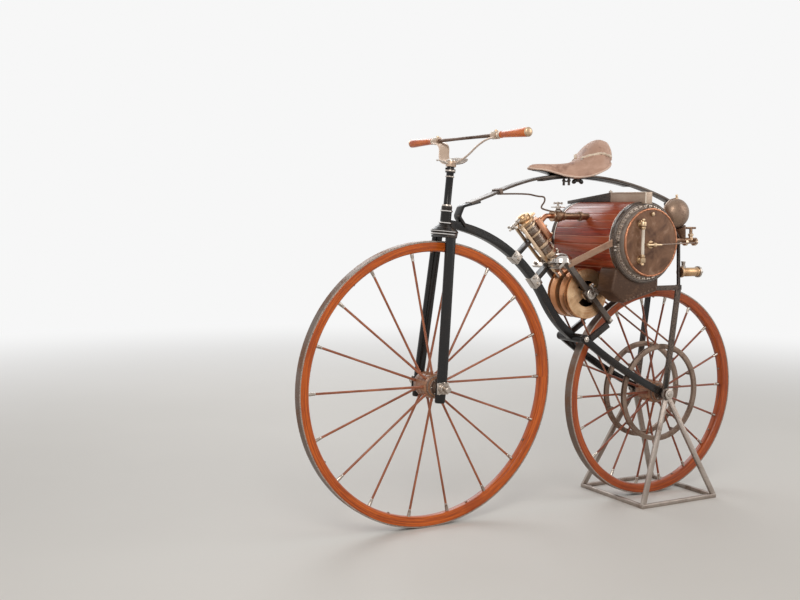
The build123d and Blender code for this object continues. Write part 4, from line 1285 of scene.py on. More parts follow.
# %% [markdown]
# ## Leather
#
# Old saddle leather is creased, blotched and rubbed pale on its edges. One recipe mixes folds, fine
# grain and blotches. It can add a ragged tear at one point and a dark panel behind a plane, which the
# seat's own finish needs, and the edges and the seam use it without them.

# %% Leather finishes


def leather(name, dark, mid, light, tear=None, back=None):
    """Creased leather. A tear is a dark ragged spot, and behind back it is the dark rear panel."""
    f = Finish(name, Coat_Weight=0.08, Coat_Roughness=0.4, Specular_IOR_Level=0.28)
    folds = f.noise(f.spread((14, 22, 30)), 1.0, 5, 0.62, 0.5)
    grain = f.cells(f.spread((1, 1, 1)), 620)
    blotch = f.noise(f.spread((1, 1, 1)), 24, 4, 0.6)
    body = f.mix(f.mask(folds, 0.36, 0.66), mid, light)
    body = f.mix(f.math("MULTIPLY", f.mask(blotch, 0.52, 0.70), 0.7), body, dark)
    body = f.mix(f.math("MULTIPLY", f.edges(0.505, 0.54), 0.6), body, (0.78, 0.62, 0.53))
    if tear is not None:
        away = f.tree.nodes.new("ShaderNodeVectorMath")
        away.operation = "DISTANCE"
        f.put(away.inputs[0], f.coords)
        away.inputs[1].default_value = tear
        ragged = f.math("MULTIPLY_ADD", f.noise(f.spread((1, 1, 1)), 160, 3), 0.012, away.outputs["Value"])
        body = f.mix(f.mask(ragged, 0.0105, 0.0125), (0.03, 0.016, 0.012), body)
    if back is not None:
        split = f.tree.nodes.new("ShaderNodeSeparateXYZ")
        f.put(split.inputs[0], f.coords)
        panel = f.mix(f.mask(folds, 0.36, 0.66), (0.13, 0.105, 0.10), (0.26, 0.22, 0.21))
        body = f.mix(f.mask(split.outputs["X"], back - 0.001, back + 0.001), panel, body)
    f.colour(body)
    f.rough(f.mask(folds, 0.3, 0.7), 0.42, 0.66)
    f.bump(f.math("ADD", f.math("MULTIPLY", grain, 0.35), f.math("MULTIPLY", folds, 1.0)), 0.0007)
    return f.material


torn_share, torn_angle = 0.635, 72
panel_share = 0.957
pink_leather = leather("worn_saddle_leather", (0.28, 0.145, 0.105), (0.50, 0.30, 0.22), (0.62, 0.40, 0.305),
                       on_hull(torn_share, torn_angle), saddle_high.x - panel_share * saddle_len)
edge_leather = leather("rolled_edge_leather", (0.34, 0.17, 0.11), (0.60, 0.36, 0.25), (0.74, 0.49, 0.36))
dry_leather = leather("dry_seam_leather", (0.46, 0.32, 0.22), (0.86, 0.72, 0.55), (0.94, 0.84, 0.70))
dark_leather = leather("dark_saddle_leather", (0.045, 0.034, 0.032), (0.10, 0.08, 0.078),
                       (0.20, 0.165, 0.155))
print("leathers made")

# %% [markdown]
# ## Seat and pan
#
# The leather is firm, so it is grown from its stations and rounded by subdivision. The
# iron pan under its front half is the same hull, flat and a little lower.

# %% Seat and pan
seat = saddle_shape(hull)
modify(seat, "SUBSURF", levels=2, render_levels=2)
finish_piece(seat, "saddle_leather", "frame", pink_leather, ("saddle",), 60)
pan = saddle_shape(hull[2:9], 5 * mm, 5 * mm)
modify(pan, "SUBSURF", levels=1, render_levels=1)
finish_piece(pan, "saddle_pan", "frame", black_iron, (), 60)
print("saddle", round(saddle_len, 3), "long")

# %% [markdown]
# ## Edge, seam and stitches
#
# The saddle's lower edge is rolled, and the seam along the cantle has burst, as on the real one: a
# ridge of dry leather runs along it, with a dark tear. Both are pipes laid on the hull. The ridge is
# then remeshed and moved by a cloud texture, because torn leather has no even thickness.

# %% Rolled edge, burst seam and stitches
hem_from, hem_to = 0.962, 0.984
roll_share = 0.985

around = [row[0] for row in hull[:-1]]
left_edge = [on_hull(share, 0) for share in around]
route = left_edge + [Vector((p.x, -p.y, p.z)) for p in reversed(left_edge)] + [left_edge[0]]
finish_piece(pipe(route, 3.4), "saddle_rolled_edge", "frame", edge_leather, (), 60)

ridge_route = [(0.645, 78), (0.68, 62), (0.73, 48), (0.78, 38), (0.83, 29), (0.88, 22), (0.93, 16)]
seams = []
for mirrored in (False, True):
    ridge = [on_hull(share, 180 - angle if mirrored else angle, 0.6 * mm) for share, angle in ridge_route]
    seams.append(pipe(ridge, 4.4))
seam = joined(seams)
modify(seam, "REMESH", mode="VOXEL", voxel_size=0.0011)
frayed = bpy.data.textures.new("frayed_seam", "CLOUDS")
frayed.noise_scale = 0.007
modify(seam, "DISPLACE", texture=frayed, strength=0.0056, mid_level=0.45)
finish_piece(seam, "saddle_seam", "frame", dry_leather, (), 60)

tears = [set_down(pebble(9, 5.5, 5.5, 20, 10), on_hull(torn_share, angle, -2.2 * mm))
         for angle in (torn_angle, 180 - torn_angle)]
finish_piece(joined(tears), "saddle_tears", "frame", dark_leather, (), 60)
back_route = [on_hull(hem_from, angle, 0.4 * mm) for angle in range(0, 181, 12)]
finish_piece(pipe(back_route, 3.0), "saddle_back_edge", "frame", edge_leather, (), 60)
roll_route = [on_hull(roll_share, angle, -1 * mm) for angle in range(0, 181, 15)]
finish_piece(pipe(roll_route, 5.0), "saddle_back_roll", "frame", dark_leather, (), 60)
stitches = [rod(on_hull(hem_from, angle, 2.8 * mm), on_hull(hem_to, angle, 3.6 * mm), 1.2, steps=8)
            for angle in range(8, 176, 8)]
finish_piece(joined(stitches), "saddle_stitches", "frame", dark_leather, (), 60)
print(len(stitches), "stitches")

# %% [markdown]
# ## Boiler wood
#
# A hot boiler was lagged with felt and boarded over with mahogany, like a barrel. No two boards have
# the same tone, so the finish counts the boards round the axis and gives each its own random tone. The
# varnish has worn pale along the joints.

# %% Mahogany for the boards
boiler_r = size("boiler_ends").z / 2 / mm
barrel_half = size("boiler_barrel").y / 2 / mm
face_y = size("boiler_ends").y / 2 / mm
lag_drop = (boiler.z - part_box("boiler_barrel")[0].z) / mm
lag_angle = asin(lag_drop / boiler_r)
board_n = 22
board_step = (pi + 2 * lag_angle) / board_n


def boarding():
    """Red grain along the boards, one tone for each board and pale joints between them."""
    f = Finish("mahogany_boards", Coat_Weight=0.22, Coat_Roughness=0.22, Specular_IOR_Level=0.28)
    turn = f.polar(boiler, 1, 1, 1)[1]
    count = f.math("DIVIDE", f.math("ADD", turn, lag_angle), board_step)
    tone = f.tree.nodes.new("ShaderNodeTexWhiteNoise")
    tone.noise_dimensions = "1D"
    f.put(tone.inputs["W"], f.math("FLOOR", count))
    grain = f.noise(f.spread((150, 5, 150)), 1.0, 6, 0.62, 0.5)
    worn = f.noise(f.spread((40, 9, 40)), 1.0, 5, 0.6)
    body = f.mix(f.mask(grain, 0.34, 0.68), (0.15, 0.017, 0.007), (0.40, 0.048, 0.016))
    body = f.mix(f.math("MULTIPLY", tone.outputs["Value"], 0.6), body, (0.50, 0.125, 0.048))
    body = f.mix(f.math("MULTIPLY", f.mask(worn, 0.56, 0.74), 0.4), body, (0.58, 0.26, 0.15))
    joint = f.math("ABSOLUTE", f.math("SUBTRACT", f.math("FRACT", count), 0.5))
    pale = f.math("MULTIPLY", f.mask(joint, 0.455, 0.485), f.mask(worn, 0.38, 0.6))
    f.colour(f.mix(f.math("MULTIPLY", pale, 0.75), body, (0.66, 0.40, 0.29)))
    f.rough(f.mask(worn, 0.3, 0.7), 0.26, 0.46)
    f.bump(grain, 0.0003)
    return f.material


mahogany = boarding()
print(board_n, "boards of", round(degrees(board_step), 1), "degrees")

# %% [markdown]
# ## Boards, core and bands
#
# Each board is a strip of a ring: a thin rectangle is spun round the boiler's axis by one board's
# angle, its edges are broken, and turned copies of it make the barrel. The dark core shows only in the
# joints. Iron bands and bright hoops hold the ends, and the hoops are cut off where the boards stop.

# %% Boards, core and bands
board_t = 8.0
board_gap = 0.4
board_shift = 0.02
board_half = barrel_half - 9.5

clear()
bpy.ops.mesh.primitive_plane_add(size=mm, location=((boiler_r - board_t / 2) * mm, 0, 0))
board = bpy.context.object
board.scale = (board_t, 2 * board_half, 1)
bpy.ops.object.transform_apply(location=True, scale=True)
edit(board)
bpy.ops.mesh.spin(steps=4, angle=board_step - board_gap / boiler_r, center=(0, 0, 0), axis=(0, -1, 0))
done()
face_out(board)
bevelled(board, 0.9 * mm, 2, 40)
turns = [Matrix.Translation(boiler) @ Matrix.Rotation(lag_angle - (k + board_shift) * board_step, 4, "Y")
         for k in range(board_n)]
finish_piece(copies(board, turns), "boiler_boards", "frame", mahogany, ("boiler_barrel",), 40)

core_r = boiler_r - board_t - 0.5
core = turned([(core_r, -barrel_half), (core_r, barrel_half)], boiler, Y, 96)
lag_end = boiler - Z * lag_drop * mm
cut(core, lag_end, -Z)
finish_piece(core, "boiler_core", "frame", black_iron)

band_profile = lifted([(boiler_r - 9, -8.5), (boiler_r + 0.4, -8.5), (boiler_r + 1.2, -7),
                       (boiler_r + 1.2, 0), (boiler_r - 9, 0)], barrel_half)
hoop_profile = lifted([(boiler_r - 2, 0), (boiler_r + 0.9, 0), (boiler_r + 1.3, 1.2), (boiler_r + 0.9, 4.2),
                       (boiler_r - 2, 4.2)], barrel_half - 13.5)
bands = [turned_ring(at_side(s, band_profile), boiler, Y, 128) for s in SIDES.values()]
finish_piece(joined(bands), "barrel_bands", "frame", black_iron)
hoops = joined([turned_ring(at_side(s, hoop_profile), boiler, Y, 128) for s in SIDES.values()])
cut(hoops, lag_end, -Z)
finish_piece(hoops, "barrel_hoops", "frame", ring_steel)
print("barrel boarded")

# %% [markdown]
# ## Boiler ends
#
# Each end is a flanged drum. Studs stand in a ring on its flange, a hammered copper gasket shows round
# the lid, and the lid itself is brown with old heat. The gasket's lumps come from a cloud texture that
# moves its surface by about a millimetre, which is what a soft metal under a bolt ring looks like.

# %% Drum, studs, gasket and lid


def patina():
    """Brown iron clouded by heat, lighter in a few patches and darker in fine specks."""
    f = Finish("heat_brown_lid", Metallic=0.25, Specular_IOR_Level=0.3)
    clouds = f.noise(f.spread((1, 1, 1)), 13, 6, 0.62, 0.8)
    fine = f.noise(f.spread((60, 20, 60)), 1.0, 5, 0.6)
    body = f.mix(f.mask(clouds, 0.36, 0.60), (0.085, 0.038, 0.020), (0.21, 0.108, 0.062))
    body = f.mix(f.math("MULTIPLY", f.mask(clouds, 0.56, 0.72), 0.75), body, (0.42, 0.275, 0.19))
    body = f.mix(f.math("MULTIPLY", f.mask(fine, 0.56, 0.70), 0.35), body, (0.10, 0.045, 0.028))
    f.colour(body)
    f.rough(f.mask(clouds, 0.3, 0.7), 0.34, 0.58)
    f.bump(fine, 0.0004)
    return f.material


lid_brown = patina()
drum_r = boiler_r - 24
rim_profile = lifted([(boiler_r - 2, 0), (boiler_r + 1, 0), (boiler_r + 1, 9), (boiler_r - 2, 11.4),
                      (boiler_r - 9, 11.4), (boiler_r - 9, 0)], barrel_half)
drum_profile = lifted([(boiler_r - 3, 0), (boiler_r - 2, 2), (boiler_r - 2, 8), (boiler_r - 3, 11),
                       (boiler_r - 5, 11.6), (boiler_r - 7, 10.4), (drum_r + 5, 12), (drum_r + 1, 14),
                       (drum_r, 17)], barrel_half) + [(drum_r, face_y - 10), (drum_r - 8, face_y - 10)]
gasket_profile = lifted([(drum_r - 6, -11), (drum_r, -11), (drum_r + 1.6, -8.5), (drum_r + 1.6, -5),
                         (drum_r - 0.5, -2.2), (drum_r - 4, -2.2), (drum_r - 6, -4)], face_y)
lid_profile = lifted([(drum_r - 5.5, -9), (drum_r - 5.5, -4), (drum_r - 8, -3.2), (drum_r - 14, -3.4),
                      (drum_r - 30, -1.6), (60, -0.4), (0, 0)], face_y)
pair_n = 36
pair_half = 0.17

rims, drums, gaskets, lids, studs = [], [], [], [], []
for s in SIDES.values():
    # The barrel's band covers the rim's inner side, so its profile stays open there.
    rims.append(turned(at_side(s, rim_profile), boiler, Y, 128, hollow=True))
    drums.append(turned(at_side(s, drum_profile), boiler, Y, 128))
    gaskets.append(turned_ring(at_side(s, gasket_profile), boiler, Y, 220))
    lids.append(turned(at_side(s, lid_profile), boiler, Y, 96))
    flange = boiler + Y * s * (barrel_half + 10) * mm
    turns = [(k + 0.5 + shift) * 2 * pi / pair_n for k in range(pair_n) for shift in (-pair_half, pair_half)]
    studs += [(flange + clock(a) * (drum_r + 9) * mm, Y * s) for a in turns]
lumps = bpy.data.textures.new("gasket_lumps", "CLOUDS")
lumps.noise_scale = 0.012
gasket = joined(gaskets)
edit(gasket)
bpy.ops.mesh.subdivide(number_cuts=1)
done()
modify(gasket, "DISPLACE", texture=lumps, strength=0.0026, mid_level=0.5)
# The flange rims are black as painted shade: the step of each flange lies in shade.
finish_piece(joined(rims), "flange_rims", "frame", black_iron)
finish_piece(joined(drums), "boiler_drums", "frame", boiler_plate, ("boiler_ends",), 30)
finish_piece(gasket, "lid_gaskets", "frame", copper, (), 60)
finish_piece(joined(lids), "boiler_lids", "frame", lid_brown)
stud = turned([(3.8, 0), (3.8, 7.5), (2.8, 9.5), (0, 10)], steps=8)
finish_piece(spots(stud, studs), "drum_studs", "frame", stud_steel)
print(len(studs), "studs")

# %% [markdown]
# ## Gauge glass, taps and round gauge
#
# The fireman reads the water's height in a glass between two brass elbows. A tap with a lever stands
# beside it. All of it is lathe work with hex glands, so it is built from turned profiles and nuts.

# %% Water gauge


def ivory():
    """Old glass with a yellowed film, shiny over the whole tube."""
    f = Finish("gauge_glass", Coat_Weight=1.0, Coat_Roughness=0.04)
    film = f.noise(f.spread((60, 60, 14)), 1.0, 4)
    f.colour(f.mix(f.mask(film, 0.35, 0.7), (0.86, 0.78, 0.66), (0.66, 0.56, 0.45)))
    f.rough(film, 0.06, 0.2)
    return f.material


# The node's box also holds the lid's stud, which stands higher than the glass.
glass_low, glass_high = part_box("water_gauge")
glass_top = boiler.z + 71 * mm
glass_x = glass_high.x - 9 * mm
glass_y = (face_y + 12) * mm
parts = []
for z, up in ((glass_low.z + 8 * mm, 1), (glass_top - 8 * mm, -1)):
    centre = Vector((glass_x, glass_y, z))
    root = Vector((glass_x, (face_y - 2) * mm, z))
    parts.append(turned([(13, 0), (14, 1), (14, 3.5), (9, 4.5), (7, 7), (7, 14)], root, Y, 28))
    parts.append(turned([(9.5, -9), (10.5, -7), (10.5, 5), (8, 8), (7.2, 9)], centre, Z * up, 24))
    gland = nut(9.6, 7, 0.7)
    parts.append(set_down(gland, centre + Z * up * 9 * mm, Z * up))
    parts.append(turned([(5, -11), (6.5, -15), (5, -19), (0, -20.5)], centre, Z * up, 20))
finish_piece(joined(parts), "gauge_elbows", "frame", old_brass, ("water_gauge",))
tube = turned([(5.6, 8), (5.6, (glass_top - glass_low.z) / mm - 24)],
              Vector((glass_x, glass_y, glass_low.z + 4 * mm)), Z, 28)
finish_piece(tube, "gauge_tube", "frame", ivory())

tap_at = Vector((boiler.x + 8 * mm, (face_y - 2) * mm, boiler.z - 7 * mm))
lever_at = tap_at + Y * 26 * mm
parts = [turned([(12, 0), (13, 1), (13, 4), (8, 5), (7, 9), (8.5, 14), (10, 20), (8.5, 27), (5.5, 31),
                 (0, 32)], tap_at, Y, 28),
         rod(lever_at + X * 30 * mm, lever_at - X * 30 * mm, 4.2, 3.4),
         set_down(nut(6, 5), lever_at + X * 31 * mm, X)]
finish_piece(joined(parts), "try_tap", "frame", old_brass)
link_end = Vector((boiler.x - 196 * mm, tap_at.y + 12 * mm, tap_at.z + 6 * mm))
link = [rod(lever_at + (Z - X * 22) * mm, link_end, 2.2),
        turned(both_sides([(4, 4), (5, 3)]), link_end, X, 16)]
finish_piece(joined(link), "tap_link", "frame", brown_iron)
stud = set_down(nut(7.5, 6), (boiler.x + 2 * mm, (face_y - 1.5) * mm, boiler.z + 98 * mm), Y)
finish_piece(stud, "lid_stud", "frame", old_brass)
print("water gauge done")

# %% [markdown]
# ## Round gauge
#
# The pressure gauge's case is a deep round dome with a brass flange behind it and a small knob on top.
# It is turned like a bowl, and its profile follows the case's radius, so it keeps its form if that
# changes.

# %% Round gauge
gauge_low, gauge_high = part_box("pressure_gauge")
gauge_r = (gauge_high.x - gauge_low.x) / 2 / mm
gauge = Vector(((gauge_low.x + gauge_high.x) / 2, gauge_low.y + 14 * mm, gauge_high.z - (gauge_r + 12) * mm))
dome = turned([(gauge_r - 6, -14), (gauge_r - 3, -14), (gauge_r, -10), (gauge_r, -4), (gauge_r - 2, -3),
               (gauge_r - 2, 2), (gauge_r * 0.93, 11), (gauge_r * 0.84, 19), (gauge_r * 0.7, 26.5),
               (gauge_r * 0.52, 32.5), (gauge_r * 0.3, 36.4), (gauge_r * 0.12, 37.8), (0, 38)], gauge, Y, 72)
finish_piece(dome, "gauge_dome", "frame", gauge_brown, ("pressure_gauge",), 40)
parts = [turned([(gauge_r - 8, -19), (gauge_r - 6, -18.6), (gauge_r - 6, -14.5), (gauge_r - 9, -14)],
                gauge, Y, 64),
         turned([(4, -4), (6.5, -2), (6.5, 3), (3.4, 5), (3.4, 8), (5, 10), (4.4, 13), (0, 15)],
                gauge + Z * (gauge_r - 1) * mm, Z, 24)]
finish_piece(joined(parts), "gauge_flange", "frame", pale_brass)
print("round gauge done")

# %% [markdown]
# ## Feed valve and pump
#
# A small pump pushes water through a valve into the boiler. Both look like turned brass, so they are
# lathe profiles set on the frame's pieces, with bolts on the pump's flange.

# %% Feed valve and pump
eased("feed_valve", dark_bronze, 1.2, 2)
feed_at = Vector((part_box("feed_valve")[0].x, middle("feed_valve").y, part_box("feed_valve")[0].z + 9 * mm))
stem = feed_at + X * 26 * mm
parts = [turned(both_sides([(10.5, 6), (12.5, 5)]), feed_at + X * x * mm, X, 24) for x in (8, 52)]
parts.append(turned([(9, 6), (10, 8), (7.5, 14), (7.5, 22), (10, 24), (10, 30), (6, 33), (4, 44), (5.5, 47),
                     (0, 48)], stem, Z, 28))
for s in SIDES.values():
    parts.append(turned([(5, 20), (7, 21), (7.4, 25), (5, 28), (0, 29)], stem - X * 6 * mm, Y * s, 20))
finish_piece(joined(parts), "feed_valve_brass", "frame", pale_brass)

pump_low, pump_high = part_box("feed_pump")
pump_at = Vector((pump_high.x - 3 * mm, middle("feed_pump").y, pump_low.z + 21 * mm))
body = turned([(13, 0), (19, 1), (20, 4), (20, 10), (16, 12), (15, 22), (16.6, 26), (16.6, 74), (15, 78),
               (17, 82), (17, 88)], pump_at, -X, 48)
finish_piece(body, "pump_body", "frame", brass, ("feed_pump",))
parts = [turned([(10, 86), (21, 87), (21.4, 89), (21.4, 94), (20, 96), (12, 96.6), (9, 99), (9, 102.6),
                 (0, 103)], pump_at, -X, 48),
         turned([(6, 14), (7.4, 16), (7.4, 28), (10, 30), (10, 38), (7, 41), (7, 50), (8.4, 52), (8.4, 56),
                 (0, 57)], pump_at - (X * 17 + Z * 16) * mm, Z, 28)]
finish_piece(joined(parts), "pump_flange", "frame", bright_steel)
bolts = bolt_circle(pump_at - X * 96 * mm, -X, Y, Z, 16.5, 6)
finish_piece(spots(nut(3.6, 3), bolts), "pump_bolts", "frame", brown_iron)
print("valve and pump done")

# %% [markdown]
# ## Tray
#
# A narrow trough of tan sheet crosses the top of the boiler, and a black plate slopes away from it on
# the far side; its black is partly painted shade, where that side lies in shade. The frame has both as
# one piece, so it is cut in two. The trough is hollowed like folded sheet: its top face is inset and pushed
# down.

# %% Trough, sloping plate and bolt
tray_low, tray_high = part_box("top_tray")
trough_end = boiler.y + 15 * mm
saw_gap = 0.6 * mm
trough = cut(twin_of("top_tray"), (0, trough_end, 0), -Y)
pick_faces(trough, lambda face: face.normal.z > 0.9)
bpy.ops.mesh.inset(thickness=3.2 * mm)
bpy.ops.mesh.extrude_region_move(TRANSFORM_OT_translate={"value": (0, 0, -9 * mm)})
close_faces()
bevelled(trough, 0.9 * mm, 2)
finish_piece(trough, "trough", "frame", tan_metal, ("top_tray",))
# The sloping plate's black is partly painted shade for the shaded far side of the tray.
plate = cut(twin_of("top_tray"), (0, trough_end - saw_gap, 0), Y)
bevelled(plate, 1.6 * mm, 2)
finish_piece(plate, "sloping_plate", "frame", black_iron)
edge_x = tray_high.x + 0.6 * mm
edge_y, edge_z = tray_high.y - 1 * mm, tray_high.z - 2 * mm
strips = [rod((edge_x, trough_end + 2 * mm, edge_z), (edge_x, tray_high.y, edge_z), 2.2),
          rod((edge_x, edge_y, tray_low.z + 1 * mm), (edge_x, edge_y, tray_high.z - 1 * mm), 2.2)]
finish_piece(joined(strips), "trough_edges", "frame", pale_edge)
bolt = set_down(nut(7, 7), (tray_high.x - 8 * mm, trough_end - 9 * mm, tray_high.z - 2 * mm), Z)
finish_piece(bolt, "trough_bolt", "frame", bright_steel)
print("trough done")

# %% [markdown]
# ## Casings and stays
#
# The fire burns below the boiler in two riveted casings. Their front corners are rolled, not folded, so
# they get a wide round bevel, and the heat has browned them in clouds. A row of rivets follows the
# sloping foot of each and climbs its back edge. Flat stays with a hook on each side hold the boiler.

# %% Casings, rivets and stays
casing_low, casing_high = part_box("firebox_left")
rise = 40 * mm
foot_inset, back_inset = 12 * mm, 10 * mm
foot_n, back_n = 9, 5
front_foot = casing_high.x - 54 * mm
row = []
for k in range(foot_n):
    share = k / (foot_n - 1)
    row.append((casing_low.x + foot_inset + (front_foot - casing_low.x - 2 * foot_inset) * share,
                casing_low.z + rise * (1 - share) + 11 * mm))
for k in range(back_n):
    row.append((casing_low.x + back_inset, casing_low.z + rise + 26 * mm + k * 13.5 * mm))
for name, s in SIDES.items():
    eased(f"firebox_{name}", heat_brown, 9.0, 5, 20)
    rivets = [(Vector((x, s * (casing_high.y - 0.3 * mm), z)), Y * s) for x, z in row]
    finish_piece(spots(rivet(4.0, 2.4), rivets), f"casing_rivets_{name}", "frame", heat_brown)
eased("firebox_bridge", heat_brown, 2.0, 2)

eased("boiler_stays", brown_stay, 1.2, 2)
eased("cross_plate", bright_steel, 1.0, 2)
for name, s in SIDES.items():
    hook_at = Vector((boiler.x + (boiler_r - 12) * mm, s * (barrel_half + 10) * mm, boiler.z + 2 * mm))
    screw = hook_at + X * 4 * mm
    parts = [block(26, 8, 16, hook_at, Z, 1.5), rod(screw + Z * 6 * mm, screw - Z * 34 * mm, 4.4)]
    finish_piece(joined(parts), f"stay_hook_{name}", "frame", black_iron)
    below = [(screw - Z * drop * mm, -Z) for drop in (14, 26)]
    finish_piece(spots(nut(7, 5), below), f"stay_nuts_{name}", "frame", bright_steel)
print("casings and stays done")

# %% [markdown]
# ## Engine
#
# One small cylinder lies between the wheels and drives a crank. Its axis leans 47 degrees, so places on
# it are counted up that axis, ahead of it and to the side. The cylinder is a turned barrel with brass
# bands; its head is a ring of bolts; two flat bars tie the head to the cross plate.

# %% Cylinder, bands and head
cyl_lean = radians(47)
cyl_up = Vector((cos(cyl_lean), 0, sin(cyl_lean)))
cyl_ahead = Vector((sin(cyl_lean), 0, -cos(cyl_lean)))
cyl_r = 26.0
cyl_top = 347.0
tie_y = 19.0


def engine(t, n=0.0, y=0.0):
    """Place t mm up the cylinder from the crank, n ahead of its axis, y to the left."""
    return crank + (cyl_up * t + cyl_ahead * n + Y * y) * mm


def band(r, low, high, lip=1.0):
    """Profile of a band from low to high with its two edges broken."""
    return [(r - 5, low), (r - lip, low), (r, low + lip), (r, high - lip), (r - lip, high), (r - 5, high)]


barrel = turned([(37, 170), (38, 171), (38, 183), (36.5, 185), (28, 186), (cyl_r, 189), (cyl_r, 226),
                 (cyl_r + 2, 227), (cyl_r + 2, 229), (cyl_r, 230), (cyl_r, 268), (cyl_r + 2, 269),
                 (cyl_r + 2, 271), (cyl_r, 272), (cyl_r, 312), (cyl_r + 2, 313), (cyl_r + 2, 315),
                 (cyl_r, 316), (cyl_r, cyl_top)], crank, cyl_up, 64)
finish_piece(barrel, "cylinder_barrel", "frame", cylinder_steel, ("cylinder",), 30)
bands = [turned(band(cyl_r + 4.4, low, high), crank, cyl_up, 64)
         for low, high in ((190, 205), (236, 246), (288, 295), (324, 332))]
finish_piece(joined(bands), "cylinder_bands", "frame", pale_brass)
foot_bolts = bolt_circle(engine(183.5), cyl_up, cyl_ahead, Y, 33, 6, pi / 6)
finish_piece(spots(nut(4.6, 5), foot_bolts), "cylinder_foot_bolts", "frame", bright_steel)

cover = lifted([(30, -7), (34, -6), (34.5, -4), (34.5, 4), (33, 6), (27, 7), (27, 16), (25, 18), (16, 20),
                (13, 24), (8, 26), (0, 27)], cyl_top)
parts = [turned(cover, crank, cyl_up, 56), block(76, 54, 7, engine(cyl_top + 4.5), cyl_up, 2.0)]
finish_piece(joined(parts), "cylinder_cover", "frame", brass, ("cylinder_head",), 30)
cover_bolts = bolt_circle(engine(cyl_top + 6), cyl_up, cyl_ahead, Y, 22.5, 10)
finish_piece(spots(nut(4.8, 8, 0.55), cover_bolts), "cover_bolts", "frame", pale_brass)

ties = [block(12, 5, 166, engine(267, 32, y), cyl_up, 0.8) for y in (tie_y, -tie_y)]
finish_piece(joined(ties), "tie_bars", "frame", pale_brass)
tie_ends = [(engine(cyl_top + 8, 32, y), cyl_up) for y in (tie_y, -tie_y)]
finish_piece(spots(nut(6, 5), tie_ends), "tie_nuts", "frame", bright_steel)

cock_t = cyl_top + 17.5
cock = [turned([(8, 14), (9, 16), (9, 26), (6, 28), (5.4, 44), (8, 46), (8, 56), (5, 58), (3.6, 60),
                (3.4, 68), (0, 69)], engine(cock_t), cyl_ahead, 28)]
for s in SIDES.values():
    cock.append(turned([(4.6, 0), (4, 6), (3, 18), (4.8, 21), (4.8, 25), (0, 27.5)],
                       engine(cock_t, 51), Y * s, 20))
finish_piece(joined(cock), "relief_cock", "frame", bright_steel)
print("cylinder done")

# %% [markdown]
# ## Steam chest and slides
#
# The steam chest is a copper-coloured box along the cylinder with a raised lid. The lid is made from
# the box itself: the outer face is inset and pushed out. Below the cylinder the piston rod's block runs
# between two round bars, and a bright dome stands on the cross plate.

# %% Steam chest, valve rod, dome and slide bars
chest = block(24, 43, 88, engine(281, -34), cyl_up, 4.0)
pick_faces(chest, lambda face: face.normal.dot(cyl_ahead) < -0.98 and face.area > 0.001)
bpy.ops.mesh.inset(thickness=3.5 * mm)
bpy.ops.mesh.extrude_region_shrink_fatten(TRANSFORM_OT_shrink_fatten={"value": 3.0 * mm})
close_faces()
bevelled(chest, 0.8 * mm, 2, 40)
finish_piece(chest, "steam_chest", "frame", copper)
chest_bolts = [(engine(t, -48, y), -cyl_ahead) for t in (243, 281, 319) for y in (15, -15)]
finish_piece(spots(nut(4.4, 4), chest_bolts), "chest_bolts", "frame", pale_brass)
gland = turned([(8, 222), (9.5, 223), (9.5, 229), (12, 231), (12, 237)], engine(0, -34), cyl_up, 28)
finish_piece(gland, "valve_gland", "frame", brass)
valve_rod = rod(engine(120, -33), engine(230, -34), 3.2)
finish_piece(valve_rod, "valve_rod", "frame", polished_steel)

dome_at = engine(162, 9, 54)
dome_r = 40
dome = turned([(dome_r, 0), (dome_r + 1.5, 1), (dome_r + 1.5, 3), (dome_r - 0.5, 5), (dome_r - 1, 12),
               (dome_r * 0.88, 19), (dome_r * 0.7, 25.5), (dome_r * 0.45, 30.5), (dome_r * 0.2, 32.6),
               (0, 33)], dome_at, Z, 72)
finish_piece(dome, "polished_dome", "frame", polished_steel, (), 50)
slide_n, slide_t = 20, 134
slides = [rod(engine(98, n), engine(161, n), 4.2) for n in (slide_n, -slide_n)]
slides.append(block(30, 15.5, 27, engine(slide_t), cyl_up, 2.0))
slides.append(turned([(5.4, 60), (5.4, 118), (9, 119), (10, 121), (10, 148), (5.4, 152), (5.4, 190)],
                     crank, cyl_up, 28))
finish_piece(joined(slides), "slide_bars", "frame", bright_steel, ("piston_rod",), 30)
shoes = [block(9, 17, 20, engine(slide_t, n), cyl_up, 1.5) for n in (slide_n, -slide_n)]
finish_piece(joined(shoes), "slide_shoes", "frame", brass)
plate_bolts = [(engine(170, n, y), cyl_up) for n in (-4, 30) for y in (66, -66)]
finish_piece(spots(nut(7, 6), plate_bolts), "plate_bolts", "frame", bright_steel)
print("steam chest and slides done")

# %% [markdown]
# ## Crank and flywheels
#
# The two flywheels carry the crank pin between them and the belt grooves on their rims. Between each
# wheel's hub and rim are two crescent windows. They are cast in bronze, so they are rounded and tan,
# with scratches round the axis, and painted shade darkens the recess near the hub.

# %% Flywheels, crankshaft and rails
rim_from, rim_full = 0.0862, 0.0875
recess_y, recess_r = 0.0545, 0.052


